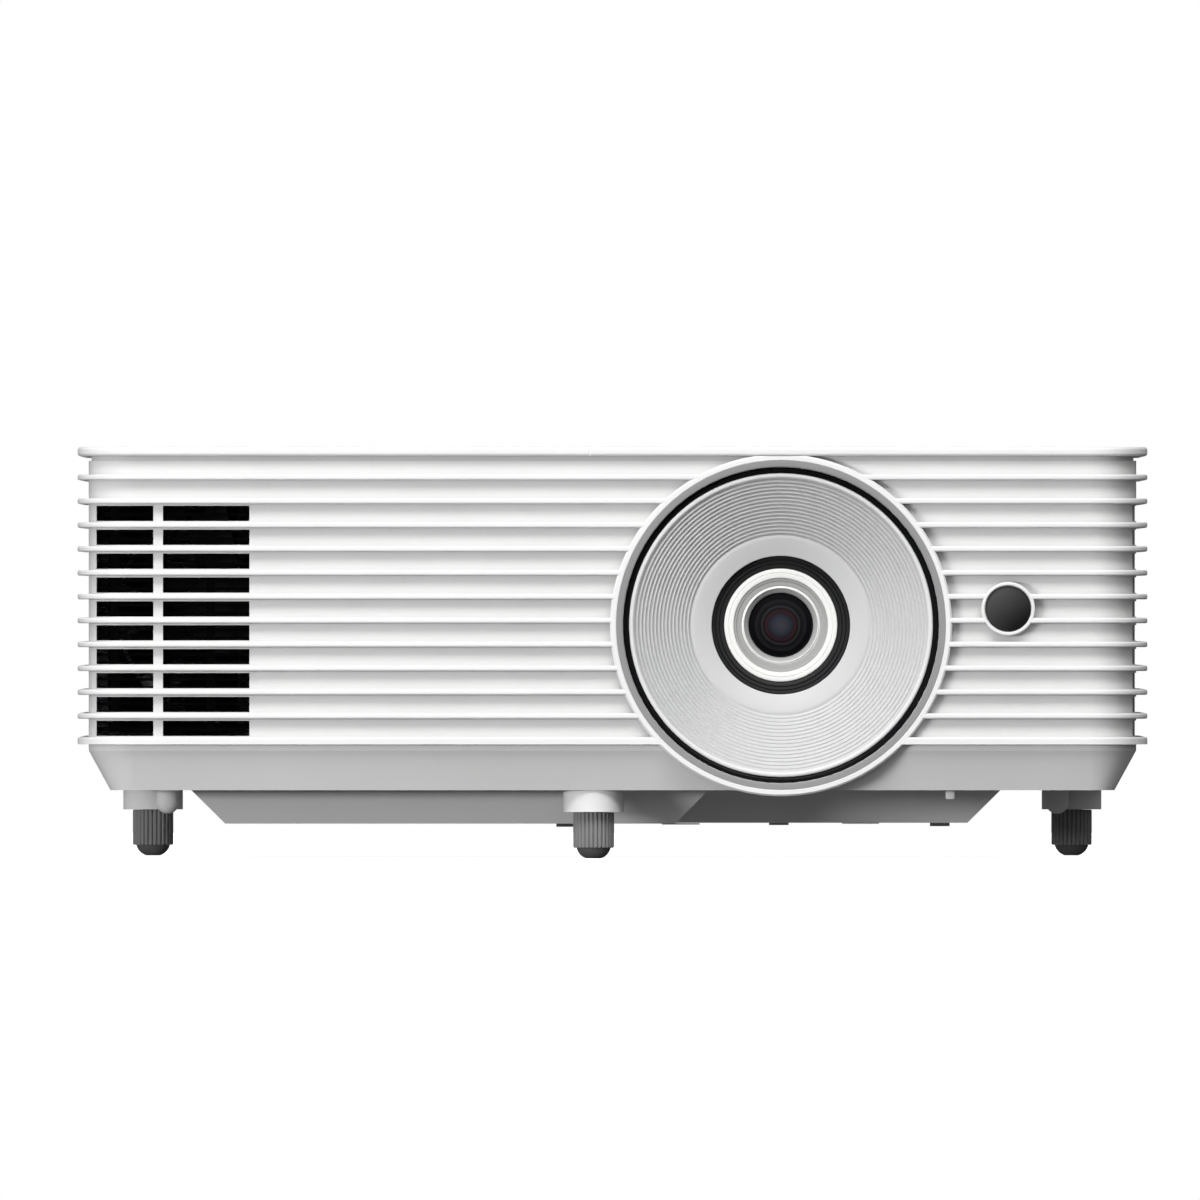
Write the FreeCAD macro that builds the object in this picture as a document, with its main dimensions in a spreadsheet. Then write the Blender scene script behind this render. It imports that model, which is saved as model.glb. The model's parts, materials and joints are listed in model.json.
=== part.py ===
"""Home projector: a parametric assembly of separate sub-parts, in millimetres.

The frame has +Z up and its origin on the floor under the middle of the case.
The front, with the lens, faces -Y, and +X is to the right of somebody who looks at the front.
"""
import FreeCAD, Part
import math
import os
import re
import Sketcher

Vector = FreeCAD.Vector
Rotation = FreeCAD.Rotation

DIMENSIONS = (
    # case
    ("case_width", 312), ("case_depth", 222), ("case_height", 120),
    ("corner_radius", 16.25), ("wall", 2.4),
    ("fin_reach", 3.25), ("fin_count", 12), ("fin_pitch", 6.96), ("fin_thickness", 1.6),
    ("fin_round", 0.55), ("top_fin", 111.95), ("seam_height", 33.3),
    ("lid_thickness", 2.7), ("lid_gap", 1.3), ("lid_setback", 0.8), ("lid_seam", -6.6),
    ("seam_gap", 0.3), ("lip_depth", 5),
    ("lamp_screw_x", -80), ("lamp_screw_y", 102), ("lid_round", 0.9),
    ("pillar_radius", 4.5), ("pillar_height", 30), ("rib_half", 1.5),
    # vents
    ("vent_rows", 10), ("vent_height", 4.46), ("vent_drop", 0.55),
    ("vent_left", -150.4), ("vent_post_left", -133.8), ("vent_post_right", -131),
    ("vent_right", -105.8), ("side_vent_start", -100.1), ("side_vent_length", 45),
    ("side_vent_post", 3), ("screen_thickness", 0.8), ("screen_slot", 1.6), ("screen_pitch", 2.4),
    ("screen_clearance", 0.2), ("screen_front_end", -94), ("screen_side_start", 140),
    ("front_post_pitch", 14), ("side_post_pitch", 24),
    # lower shell
    ("base_height", 19.93), ("base_inset", 6.35), ("band_height", 1.8),
    ("keel_height", 10.02), ("keel_left", -123.1), ("keel_split", 28.1), ("keel_right", 114.05),
    ("keel_front_left", -75), ("keel_front_right", -20), ("keel_back", 95),
    # feet
    ("front_foot_x", -5.5), ("front_foot_y", -91.8), ("rear_foot_x", 135.6), ("rear_foot_y", 88),
    ("collar_radius", 8.8), ("collar_height", 13.58), ("stud_radius", 3), ("stud_top", 33),
    ("knob_radius", 6), ("knob_height", 10), ("knob_bottom", 3.3), ("tip_radius", 5),
    ("nub_x", 131.2), ("nub_y", 72), ("nub_radius", 3.4), ("nub_height", 12.3), ("nut_height", 5),
    # ceiling mount
    ("insert_radius", 2.9), ("insert_bore", 2), ("insert_bottom", 9), ("insert_length", 12),
    ("boss_radius", 5.5),
    ("mount_one_x", -13.55), ("mount_one_y", -40), ("mount_two_x", 49.1), ("mount_two_y", 72),
    ("mount_three_x", 96.1), ("mount_three_y", 0),
    # lens
    ("lens_x", 49.1), ("lens_z", 68.05), ("ring_radius", 49.85), ("ring_rim", 48.2),
    ("ring_bore", 46.06), ("ring_back", -99), ("ring_seat", 41),
    ("lip_radius", 44.29), ("lip_inner", 42.9), ("groove_count", 16), ("groove_pitch", 1.056),
    ("groove_width", 0.42), ("groove_depth", 0.45), ("dish_radius", 26), ("dish_bore", 20.2),
    ("cone_front", -108.4), ("cone_depth", 11.6), ("dish_depth", 1.3), ("bezel_thickness", 1.5),
    ("barrel_radius", 21.9), ("barrel_bore", 16.56), ("barrel_front", -93.7), ("barrel_back", -30),
    ("cell_clearance", 0.06), ("cell_front", -93.2), ("cell_back", -76),
    ("glass_radius", 9.4), ("ring_clearance", 0.08), ("focus_radius", 36), ("focus_front", -92.6),
    ("focus_back", -80), ("zoom_radius", 33), ("zoom_front", -78), ("zoom_back", -67),
    ("lever_radius", 43), ("lever_width", 7), ("zoom_cell_front", -58), ("zoom_cell_back", -44),
    # infrared window
    ("window_x", 115.3), ("window_z", 72.8), ("window_radius", 6.73), ("window_rim", 7.85),
    # openings of the lid and keypad
    ("reach_half", 25), ("reach_front", -91), ("reach_back", -64),
    ("keypad_x", 105), ("keypad_y", 34), ("button_radius", 4.5), ("button_pitch", 12.5),
    ("button_top", 119.7), ("button_flange", 1), ("button_clearance", 0.3),
    ("button_bottom", 113.8), ("keypad_board_z", 110.6), ("board_thickness", 1.6),
    # fans
    ("fan_x", -112), ("fan_front", -96), ("fan_depth", 20), ("fan_z", 72), ("fan_half", 35),
    ("fan_bore", 33), ("fan_hub", 13), ("blade_count", 7), ("shaft_radius", 1.5),
    ("bearing_radius", 1.56),
    ("blower_x", 109), ("blower_y", -42), ("blower_z", 40), ("blower_half", 21),
    ("blower_height", 16), ("blower_wheel", 18), ("vane_count", 18),
    # optics inside
    ("beam_y", -2), ("beam_z", 66), ("engine_left", 16), ("engine_right", 84),
    ("engine_front", -30), ("engine_back", 26), ("engine_bottom", 34), ("engine_top", 98),
    ("wheel_x", -28), ("wheel_radius", 23), ("wheel_hub", 8), ("lamp_x", -58), ("lamp_radius", 27),
    ("lamp_left", -112), ("lamp_half", 32),
    # rear panel
    ("panel_left", -30), ("panel_right", 132), ("panel_bottom", 40), ("panel_top", 74),
    ("panel_overlap", 3), ("panel_thickness", 2), ("main_board_z", 43),
    ("socket_z", 52), ("socket_depth", 10),
    ("inlet_x", -112), ("inlet_z", 56), ("inlet_half_width", 13.5), ("inlet_half_height", 10),
)

HALF_X = "case_width / 2"
HALF_Y = "case_depth / 2"
WALL_X = "(case_width / 2 - fin_reach)"
WALL_Y = "(case_depth / 2 - fin_reach)"
WALL_R = "(corner_radius - fin_reach)"
INNER_X = "(case_width / 2 - fin_reach - wall)"
INNER_Y = "(case_depth / 2 - fin_reach - wall)"
INNER_R = "(corner_radius - fin_reach - wall)"
LID_BOTTOM = "(case_height - lid_thickness)"
WALL_TOP = "(case_height - lid_thickness - lid_gap)"
BASE_X = "(case_width / 2 - fin_reach - base_inset)"
BASE_Y = "(case_depth / 2 - fin_reach - base_inset)"
BAND_BOTTOM = "(seam_height - band_height)"
LENS = ("lens_x", 0, "lens_z")
FEET = (
    ("front_foot", "front_foot_x", "front_foot_y"),
    ("rear_left_foot", "-rear_foot_x", "rear_foot_y"),
    ("rear_right_foot", "rear_foot_x", "rear_foot_y"),
)
MOUNTS = (
    ("mount_one_x", "mount_one_y"),
    ("mount_two_x", "mount_two_y"),
    ("mount_three_x", "mount_three_y"),
)
CASE_SCREWS = ((-137, -62), (137, -62), (-137, 64), (137, 64))

doc = FreeCAD.newDocument("home_projector")
dims = doc.addObject("Spreadsheet::Sheet", "dims")
for row, (alias, length) in enumerate(DIMENSIONS, 1):
    dims.set(f"A{row}", alias)
    dims.set(f"B{row}", str(length))
    dims.setAlias(f"B{row}", alias)
doc.recompute()

SUB_PARTS = []
ALIAS = re.compile(r"\b[a-z][a-z_0-9]*\b(?!\()")
TURN = {
    "x": Rotation(Vector(0, 1, 0), 90),
    "y": Rotation(Vector(1, 0, 0), -90),
    "z": Rotation(),
}


# ---------------------------------------------------------------- helpers

def size(expression):
    """The number that an expression of sheet aliases comes to."""
    return float(dims.evalExpression(str(expression)))


def bind(thing, path, expression):
    """Tie one property to an expression of sheet aliases."""
    thing.setExpression(path, ALIAS.sub(lambda found: "dims." + found.group(0), str(expression)))


def place(thing, at, axis="z"):
    """Put a thing at a point, its own Z turned along an axis."""
    thing.Placement = FreeCAD.Placement(Vector(), TURN[axis])
    for letter, expression in zip("xyz", at):
        bind(thing, f"Placement.Base.{letter}", expression)
    return thing


def sub_part(thing, label):
    """Name a finished sub-part, which is then checked and written."""
    thing.Label = label
    SUB_PARTS.append(thing)
    return thing


def box(name, x, y, z):
    """A block between a low and a high value on each axis."""
    block = doc.addObject("Part::Box", name)
    for path, (low, high) in zip(("Length", "Width", "Height"), (x, y, z)):
        bind(block, path, f"({high}) - ({low})")
    return place(block, (x[0], y[0], z[0]))


def cylinder(name, axis, at, radius, length):
    """A round bar that starts at a point and runs up an axis."""
    bar = doc.addObject("Part::Cylinder", name)
    bind(bar, "Radius", radius)
    bind(bar, "Height", length)
    return place(bar, at, axis)


def fuse(name, pieces):
    joined = doc.addObject("Part::MultiFuse", name)
    joined.Shapes = pieces
    return joined


def cut(name, base, tools):
    carved = doc.addObject("Part::Cut", name)
    carved.Base = base
    carved.Tool = tools[0] if len(tools) == 1 else fuse(name + "_cutters", tools)
    return carved


def common(name, base, tool):
    shared = doc.addObject("Part::Common", name)
    shared.Base = base
    shared.Tool = tool
    return shared


def group(name, pieces):
    together = doc.addObject("Part::Compound", name)
    together.Links = pieces
    return together


def body(name, at=(0, 0, 0), axis="z"):
    return place(doc.addObject("PartDesign::Body", name), at, axis)


def origin(part, role):
    """A plane or an axis of a body's own origin."""
    return next(item for item in part.Origin.OriginFeatures if item.Role == role)


def draw_circle(plan, x, y, radius):
    """A circle in a sketch, its centre and radius tied to the sheet."""
    centre = Vector(size(x), size(y), 0)
    index = plan.addGeometry(Part.Circle(centre, Vector(0, 0, 1), size(radius)))
    for kind, expression in (("DistanceX", x), ("DistanceY", y)):
        number = plan.addConstraint(Sketcher.Constraint(kind, -1, 1, index, 3, size(expression)))
        bind(plan, f"Constraints[{number}]", expression)
    number = plan.addConstraint(Sketcher.Constraint("Radius", index, size(radius)))
    bind(plan, f"Constraints[{number}]", radius)


def draw_loop(plan, points):
    """A closed outline in a sketch. A point is (x, y), or (x, y, radius) after an arc.

    A positive radius bends to the left on the way to its point.
    """
    spots = [Vector(size(point[0]), size(point[1]), 0) for point in points]
    first = plan.GeometryCount
    ends = []
    for number, point in enumerate(points):
        start = spots[number - 1]
        stop = spots[number]
        if len(point) == 2:
            plan.addGeometry(Part.LineSegment(start, stop))
            ends.append((1, 2))
            continue
        bend = size(point[2])
        chord = stop - start
        left = Vector(-chord.y, chord.x, 0).normalize()
        rise = math.sqrt(max(bend * bend - chord.Length ** 2 / 4, 0))
        centre = (start + stop) / 2 + left * math.copysign(rise, bend)
        middle = centre - left * bend
        plan.addGeometry(Part.Arc(start, middle, stop))
        ends.append((1, 2) if bend > 0 else (2, 1))
    rules = []
    bound = []
    count = len(points)
    for number, point in enumerate(points):
        here = first + number
        after = (number + 1) % count
        rules.append(Sketcher.Constraint("Coincident", here, ends[number][1],
                                         first + after, ends[after][0]))
        bound.append(None)
        for kind, expression in (("DistanceX", point[0]), ("DistanceY", point[1])):
            rules.append(Sketcher.Constraint(kind, -1, 1, here, ends[number][1],
                                             size(expression)))
            bound.append(expression)
        if len(point) == 3:
            rules.append(Sketcher.Constraint("Radius", here, abs(size(point[2]))))
            bound.append(f"abs({point[2]})")
    base = plan.ConstraintCount
    plan.addConstraint(rules)
    for number, expression in enumerate(bound):
        if expression is not None and re.search("[a-z]", str(expression)):
            bind(plan, f"Constraints[{base + number}]", expression)


def sketch(part, role, offset, loops):
    """A sketch on an origin plane of a body, moved out along the plane's normal."""
    plan = part.newObject("Sketcher::SketchObject", part.Name + "_sketch")
    plan.AttachmentSupport = [(origin(part, role), "")]
    plan.MapMode = "FlatFace"
    bind(plan, "AttachmentOffset.Base.z", offset)
    for loop in loops:
        if loop[0] == "circle":
            draw_circle(plan, *loop[1:])
        else:
            draw_loop(plan, loop)
    return plan


def pad(part, role, offset, loops, length):
    """Material along the plane's normal."""
    feature = part.newObject("PartDesign::Pad", part.Name + "_pad")
    feature.Profile = sketch(part, role, offset, loops)
    bind(feature, "Length", length)
    return feature


def pocket(part, role, offset, loops, length):
    """Material taken away against the plane's normal."""
    feature = part.newObject("PartDesign::Pocket", part.Name + "_pocket")
    feature.Profile = sketch(part, role, offset, loops)
    bind(feature, "Length", length)
    return feature


def loft(part, kind, lower, upper):
    """A ruled loft, added or taken away, between two (offset, loop) sections on XY."""
    feature = part.newObject(kind, part.Name + "_loft")
    feature.Profile = sketch(part, "XY_Plane", lower[0], [lower[1]])
    feature.Sections = [sketch(part, "XY_Plane", upper[0], [upper[1]])]
    feature.Ruled = True
    return feature


def turned(name, axis, at, outline):
    """A body turned round an axis, from (radius, distance along the axis) points."""
    part = body(name, at)
    role = "XZ_Plane" if axis == "z" else "XY_Plane"
    loop = outline
    if axis == "x":
        loop = [(point[1], point[0]) + tuple(f"-({bend})" for bend in point[2:])
                for point in outline]
    feature = part.newObject("PartDesign::Revolution", name + "_revolution")
    feature.Profile = sketch(part, role, 0, [loop])
    feature.ReferenceAxis = (origin(part, axis.upper() + "_Axis"), [""])
    feature.Angle = 360
    return part


def round_pattern(part, feature, axis, occurrences):
    """Repeat a feature evenly round an axis of the body."""
    doc.recompute()
    pattern = part.newObject("PartDesign::PolarPattern", part.Name + "_pattern")
    pattern.Originals = [feature]
    pattern.Axis = (origin(part, axis.upper() + "_Axis"), [""])
    pattern.Angle = 360
    bind(pattern, "Occurrences", occurrences)
    part.Tip = pattern
    return pattern


def row_pattern(part, feature, axis, spacing, occurrences, reverse=False):
    """Repeat a feature in a straight row along an axis of the body."""
    doc.recompute()
    pattern = part.newObject("PartDesign::LinearPattern", part.Name + "_pattern")
    pattern.Originals = [feature]
    pattern.Direction = (origin(part, axis.upper() + "_Axis"), [""])
    pattern.Reversed = reverse
    pattern.Length = size(f"({spacing}) * ({occurrences} - 1)")
    bind(pattern, "Length", f"({spacing}) * ({occurrences} - 1)")
    bind(pattern, "Occurrences", occurrences)
    part.Tip = pattern
    return pattern


def rounded_edges(part, radius, chosen):
    """Round the edges of the body's present shape that pass a test."""
    doc.recompute()
    before = part.Tip
    names = [f"Edge{number}" for number, edge in enumerate(before.Shape.Edges, 1)
             if chosen(edge)]
    feature = part.newObject("PartDesign::Fillet", part.Name + "_fillet")
    feature.Base = (before, names)
    bind(feature, "Radius", radius)
    return feature


def rounded_loop(half_x, half_y, radius):
    """A rounded rectangle about the origin, as eight points."""
    x, y, r = f"({half_x})", f"({half_y})", f"({radius})"
    return [
        (f"{r} - {x}", f"-{y}", radius), (f"{x} - {r}", f"-{y}"),
        (x, f"{r} - {y}", radius), (x, f"{y} - {r}"),
        (f"{x} - {r}", y, radius), (f"{r} - {x}", y),
        (f"-{x}", f"{y} - {r}", radius), (f"-{x}", f"{r} - {y}"),
    ]


def square_loop(x, y):
    """A rectangle between a low and a high value on each axis."""
    return [(x[0], y[0]), (x[1], y[0]), (x[1], y[1]), (x[0], y[1])]


def keel_block(name, x, y, z, inset):
    """A block whose four sides slope in at 45 degrees on the way down.

    Its x and y are the keel's outline where it meets the base, and it lies that inset inside them.
    """
    block = doc.addObject("Part::Wedge", name)
    spread = f"({z[1]}) - base_height - ({inset})"
    slope = f"({z[1]}) - ({z[0]})"
    for low, high, low_end, high_end, span in (
        ("Xmin", "Xmax", "X2min", "X2max", x), ("Zmin", "Zmax", "Z2min", "Z2max", y),
    ):
        bind(block, low, f"({span[0]}) - ({spread})")
        bind(block, high, f"({span[1]}) + ({spread})")
        bind(block, low_end, f"({span[0]}) - ({spread}) + ({slope})")
        bind(block, high_end, f"({span[1]}) + ({spread}) - ({slope})")
    bind(block, "Ymin", 0)
    bind(block, "Ymax", slope)
    block.Placement = FreeCAD.Placement(Vector(), Rotation(Vector(1, 0, 0), -90))
    bind(block, "Placement.Base.z", z[1])
    return block


def edge_test(half_x, half_y, radius, low, high):
    """A test for level edges on a rounded rectangle's outline, between two heights."""
    x, y, r = size(half_x), size(half_y), size(radius)
    bottom, top = size(low), size(high)

    def chosen(edge):
        bounds = edge.BoundBox
        if bounds.ZLength > 0.01 or not bottom - 0.01 < bounds.ZMin < top + 0.01:
            return False
        spot = edge.valueAt((edge.FirstParameter + edge.LastParameter) / 2)
        reach_x = abs(spot.x) - (x - r)
        reach_y = abs(spot.y) - (y - r)
        reach = max(reach_x, reach_y)
        if reach_x > 0 and reach_y > 0:
            reach = math.hypot(reach_x, reach_y)
        return abs(reach - r) < 0.01

    return chosen


# ---------------------------------------------------------------- case

def finned_case():
    """The upper case: a wall with fins round it, open slots, and the upper part of the lens ring."""
    shell = body("case_wall")
    inside = rounded_loop(INNER_X, INNER_Y, INNER_R)
    outside = rounded_loop(WALL_X, WALL_Y, WALL_R)
    tips = rounded_loop(HALF_X, HALF_Y, "corner_radius")
    last_fin = "top_fin - fin_thickness - fin_pitch * (fin_count - 1)"
    pad(shell, "XY_Plane", "seam_height", [outside, inside], f"{WALL_TOP} - seam_height")
    fin = pad(shell, "XY_Plane", "top_fin - fin_thickness", [tips, inside], "fin_thickness")
    row_pattern(shell, fin, "z", "fin_pitch", "fin_count", reverse=True)
    pad(shell, "XY_Plane", "seam_height", [tips, inside], f"{last_fin} - seam_height")
    rounded_edges(shell, "fin_round", edge_test(HALF_X, HALF_Y, "corner_radius",
                                                "seam_height + fin_thickness", "top_fin"))
    neck = rounded_loop(f"{WALL_X} - lid_setback", f"{WALL_Y} - lid_setback",
                        f"{WALL_R} - lid_setback")
    pad(shell, "XY_Plane", WALL_TOP, [neck, inside], "lid_gap")

    slot_top = "top_fin - fin_pitch - fin_thickness - vent_drop"
    slots = pocket(shell, "XZ_Plane", f"{HALF_Y} + 1",
                   [square_loop(("vent_left", "vent_post_left"),
                                (f"{slot_top} - vent_height", slot_top)),
                    square_loop(("vent_post_right", "vent_right"),
                                (f"{slot_top} - vent_height", slot_top))], "corner_radius")
    row_pattern(shell, slots, "z", "fin_pitch", "vent_rows", reverse=True)

    side_loops = []
    for number in range(3):
        start = f"side_vent_start + {number} * (side_vent_length + side_vent_post)"
        side_loops.append(square_loop((start, f"{start} + side_vent_length"),
                                      (f"{slot_top} - vent_height", slot_top)))
    side = pocket(shell, "YZ_Plane", f"{HALF_X} + 1", side_loops, "corner_radius")
    row_pattern(shell, side, "z", "fin_pitch", "vent_rows", reverse=True)

    ring = lens_ring("upper_lens_ring")
    upper_ring = common("upper_ring", ring, box(
        "upper_ring_space", ("lens_x - 60", "lens_x + 60"), (f"-{HALF_Y} - 1", "ring_back + 1"),
        ("seam_height", LID_BOTTOM)))
    openings = [
        cylinder("case_lens_hole", "y", ("lens_x", f"-{HALF_Y} - 1", "lens_z"), "ring_rim", 12),
        cylinder("case_window_hole", "y", ("window_x", f"-{HALF_Y} - 1", "window_z"),
                 "window_rim - 0.5", 12),
        box("rear_opening", ("panel_left", "panel_right"), (f"{INNER_Y} - 1", f"{HALF_Y} + 1"),
            ("panel_bottom", "panel_top")),
        box("inlet_opening", ("inlet_x - inlet_half_width", "inlet_x + inlet_half_width"),
            (f"{INNER_Y} - 1", f"{HALF_Y} + 1"),
            ("inlet_z - inlet_half_height", "inlet_z + inlet_half_height")),
        box("inlet_flange_seat", ("inlet_x - inlet_half_width - 2", "inlet_x + inlet_half_width + 2"),
            (WALL_Y, f"{HALF_Y} + 1"),
            ("inlet_z - inlet_half_height - 2", "inlet_z + inlet_half_height + 2")),
    ]
    carved = cut("carved_wall", shell, openings)
    pillars = []
    for number, (x, y) in enumerate(CASE_SCREWS, 1):
        post = cylinder(f"case_pillar_{number}", "z", (x, y, "seam_height"), "pillar_radius",
                        "pillar_height")
        reach = (x, f"{INNER_X} + 1") if x > 0 else (f"-{INNER_X} - 1", x)
        rib = box(f"case_pillar_rib_{number}", reach, (f"{y} - rib_half", f"{y} + rib_half"),
                  ("seam_height", "seam_height + pillar_height"))
        pillars += [post, rib]
    front = f"-{HALF_Y}"
    rim = turned("window_rim", "y", ("window_x", 0, "window_z"), [
        ("window_radius", f"{front} + 0.4"), ("window_radius + 0.3", front),
        ("window_rim - 0.3", front), ("window_rim", f"{front} + 0.3"),
        ("window_rim", f"-{INNER_Y}"), ("window_radius", f"-{INNER_Y}"),
    ])
    lamp_post = cylinder("lamp_screw_post", "z", ("lamp_screw_x", "lamp_screw_y", 96),
                         "pillar_radius - 0.1", f"{LID_BOTTOM} - 96.3")
    whole = fuse("case_with_posts", [carved, upper_ring, rim, lamp_post] + pillars)
    bores = [cylinder(f"case_screw_bore_{number}", "z", (x, y, "seam_height - 1"), 1.5, 16)
             for number, (x, y) in enumerate(CASE_SCREWS, 1)]
    bores.append(cylinder("lamp_screw_bore", "z", ("lamp_screw_x", "lamp_screw_y", 100), 1.7, 20))
    sub_part(cut("finned_case_cut", whole, bores), "finned_case")


def lens_ring(name):
    """The moulded ring round the lens: rim, inner bevel, and the seat that holds the bezel."""
    front = f"-{HALF_Y}"
    return turned(name, "y", LENS, [
        ("ring_seat", "ring_back - 2"), ("ring_bore", "ring_back - 2"),
        ("ring_bore", f"{front} + ring_rim - ring_bore"), ("ring_rim", front),
        ("ring_radius - 0.5", front), ("ring_radius", f"{front} + 0.5"),
        ("ring_radius", "ring_back"), ("ring_seat", "ring_back"),
    ])


def bottom_case():
    """The lower shell: a sloped tray, the deeper keel, collars, bosses and the ring's lower part."""
    tray = body("tray")
    loft(tray, "PartDesign::AdditiveLoft",
         ("base_height", rounded_loop(BASE_X, BASE_Y, f"{WALL_R} - base_inset")),
         (BAND_BOTTOM, rounded_loop(WALL_X, WALL_Y, WALL_R)))
    pad(tray, "XY_Plane", BAND_BOTTOM, [rounded_loop(WALL_X, WALL_Y, WALL_R)], "band_height")

    hollow = body("tray_hollow")
    inset = "(base_inset - 1)"
    loft(hollow, "PartDesign::AdditiveLoft",
         ("base_height + wall", rounded_loop(f"{INNER_X} - {inset}", f"{INNER_Y} - {inset}",
                                             f"{INNER_R} - {inset}")),
         (BAND_BOTTOM, rounded_loop(INNER_X, INNER_Y, INNER_R)))
    pad(hollow, "XY_Plane", BAND_BOTTOM, [rounded_loop(INNER_X, INNER_Y, INNER_R)],
        "band_height + 1")

    keels = (
        ("keel_left_part", ("keel_left", "keel_split"), ("keel_front_left", "keel_back")),
        ("keel_right_part", ("keel_split - 30", "keel_right"), ("keel_front_right", "keel_back")),
    )
    solids = []
    hollows = []
    for name, x, y in keels:
        solids.append(keel_block(name, x, y, ("keel_height", "base_height + 1"), 0))
        hollows.append(keel_block(name + "_hollow", x, y,
                                  ("keel_height + wall", "base_height + wall + 1"),
                                  "wall * 1.414"))
    collars = []
    bores = []
    for name, x, y in FEET:
        collars.append(cylinder(name + "_collar", "z", (x, y, "collar_height"), "collar_radius",
                                "base_height - collar_height + wall"))
        bores.append(cylinder(name + "_bore", "z", (x, y, "collar_height - 1"),
                              "stud_radius + 0.3", 20))
    for side in (-1, 1):
        at = (f"{side} * nub_x", "nub_y", "nub_height + nub_radius")
        nub = cylinder(f"nub_{side}", "z", at, "nub_radius",
                       "base_height - nub_height - nub_radius + 1")
        tip = doc.addObject("Part::Sphere", f"nub_tip_{side}")
        bind(tip, "Radius", "nub_radius")
        collars += [nub, place(tip, at)]
    for number, (x, y) in enumerate(MOUNTS, 1):
        collars.append(cylinder(f"mount_boss_{number}", "z", (x, y, "keel_height"),
                                "boss_radius", "insert_length"))
        bores.append(cylinder(f"mount_bore_{number}", "z", (x, y, "insert_bottom - 1"),
                              "insert_radius", "insert_length + 1"))
    for number, (x, y) in enumerate(CASE_SCREWS, 1):
        collars.append(cylinder(f"screw_boss_{number}", "z", (x, y, "base_height"),
                                "pillar_radius", "seam_height - base_height"))
        bores.append(cylinder(f"screw_bore_{number}", "z", (x, y, "base_height - 1"), 1.8, 20))
        bores.append(cylinder(f"screw_head_bore_{number}", "z", (x, y, "base_height - 1"), 3.4, 5))
    shell = cut("hollow_tray", fuse("solid_tray", [tray] + solids), [
        hollow, *hollows,
        cylinder("tray_lens_hole", "y", ("lens_x", f"-{HALF_Y} - 1", "lens_z"), "ring_rim", 12),
    ])
    lower_ring = common("lower_ring", lens_ring("lower_lens_ring"), box(
        "lower_ring_space", ("lens_x - 60", "lens_x + 60"), (f"-{HALF_Y} - 1", "ring_back + 1"),
        ("lens_z - ring_radius - 1", "seam_height")))
    air = []
    for number in range(8):
        start = f"-100 + {number} * 9"
        air.append(box(f"intake_slot_{number}", (start, f"{start} + 4"), (-30, 40),
                       ("keel_height - 1", "keel_height + wall + 1")))
    whole = fuse("tray_with_bosses", [shell, lower_ring] + collars)
    sub_part(cut("bottom_case_cut", whole, bores + air), "bottom_case")


def lid():
    """The lid: the top cover with its openings, and the lamp cover, with lips inside the neck."""
    plate = body("lid_plate")
    pad(plate, "XY_Plane", LID_BOTTOM, [rounded_loop(HALF_X, HALF_Y, "corner_radius")],
        "lid_thickness")
    rounded_edges(plate, "lid_round", edge_test(HALF_X, HALF_Y, "corner_radius", LID_BOTTOM,
                                        "case_height"))
    lip = body("lid_lip")
    pad(lip, "XY_Plane", f"{LID_BOTTOM} - lip_depth", [
        rounded_loop(f"{INNER_X} - 0.3", f"{INNER_Y} - 0.3", f"{INNER_R} - 0.3"),
        rounded_loop(f"{INNER_X} - 1.8", f"{INNER_Y} - 1.8", f"{INNER_R} - 1.8"),
    ], "lip_depth + 0.5")
    whole = fuse("lid_with_lip", [plate, lip])
    ring_relief = cylinder("lid_ring_relief", "y", ("lens_x", f"-{INNER_Y} - 0.7", "lens_z"),
                           "ring_radius + 0.3", 10)
    everything = ("-case_depth", "case_depth")
    high = ("seam_height", "case_height + 5")
    right = common("top_cover_plate", whole, box(
        "top_cover_space", ("lid_seam + seam_gap / 2", "case_width"), everything, high))
    left = common("lamp_cover_plate", whole, box(
        "lamp_cover_space", ("-case_width", "lid_seam - seam_gap / 2"), everything, high))
    holes = [
        ring_relief,
        box("reach_opening", ("lens_x - reach_half", "lens_x + reach_half"),
            ("reach_front", "reach_back"), high),
    ]
    for name, x, y, radius in BUTTONS:
        holes.append(cylinder(name + "_hole", "z", (x, y, f"{LID_BOTTOM} - 1"),
                              f"{radius} + button_clearance", 10))
    for number in range(3):
        holes.append(cylinder(f"light_hole_{number}", "z",
                              (f"keypad_x - 9 + {number} * 9", "keypad_y + 31",
                               f"{LID_BOTTOM} - 1"), 1.3, 10))
    posts = [cylinder(f"keypad_post_{number}", "z", (x, y, "keypad_board_z + board_thickness"),
                      2.5, f"{LID_BOTTOM} - keypad_board_z - board_thickness + 0.5")
             for number, (x, y) in enumerate((
                 ("keypad_x - 24", "keypad_y - 28"), ("keypad_x + 24", "keypad_y - 28"),
                 ("keypad_x - 24", "keypad_y + 36"), ("keypad_x + 24", "keypad_y + 36")), 1)]
    sub_part(fuse("top_cover_whole", [cut("top_cover_cut", right, holes)] + posts), "top_cover")
    lamp_holes = [
        cylinder("lamp_screw_hole", "z", ("lamp_screw_x", "lamp_screw_y", f"{LID_BOTTOM} - 1"),
                 1.8, 10),
        cylinder("lamp_screw_head_hole", "z",
                 ("lamp_screw_x", "lamp_screw_y", "case_height - 1.6"), 3.6, 10),
        cylinder("lamp_post_relief", "z", ("lamp_screw_x", "lamp_screw_y", "seam_height"),
                 "pillar_radius + 0.5", f"{LID_BOTTOM} - seam_height"),
    ]
    sub_part(cut("lamp_cover_cut", left, lamp_holes), "lamp_cover")


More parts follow.
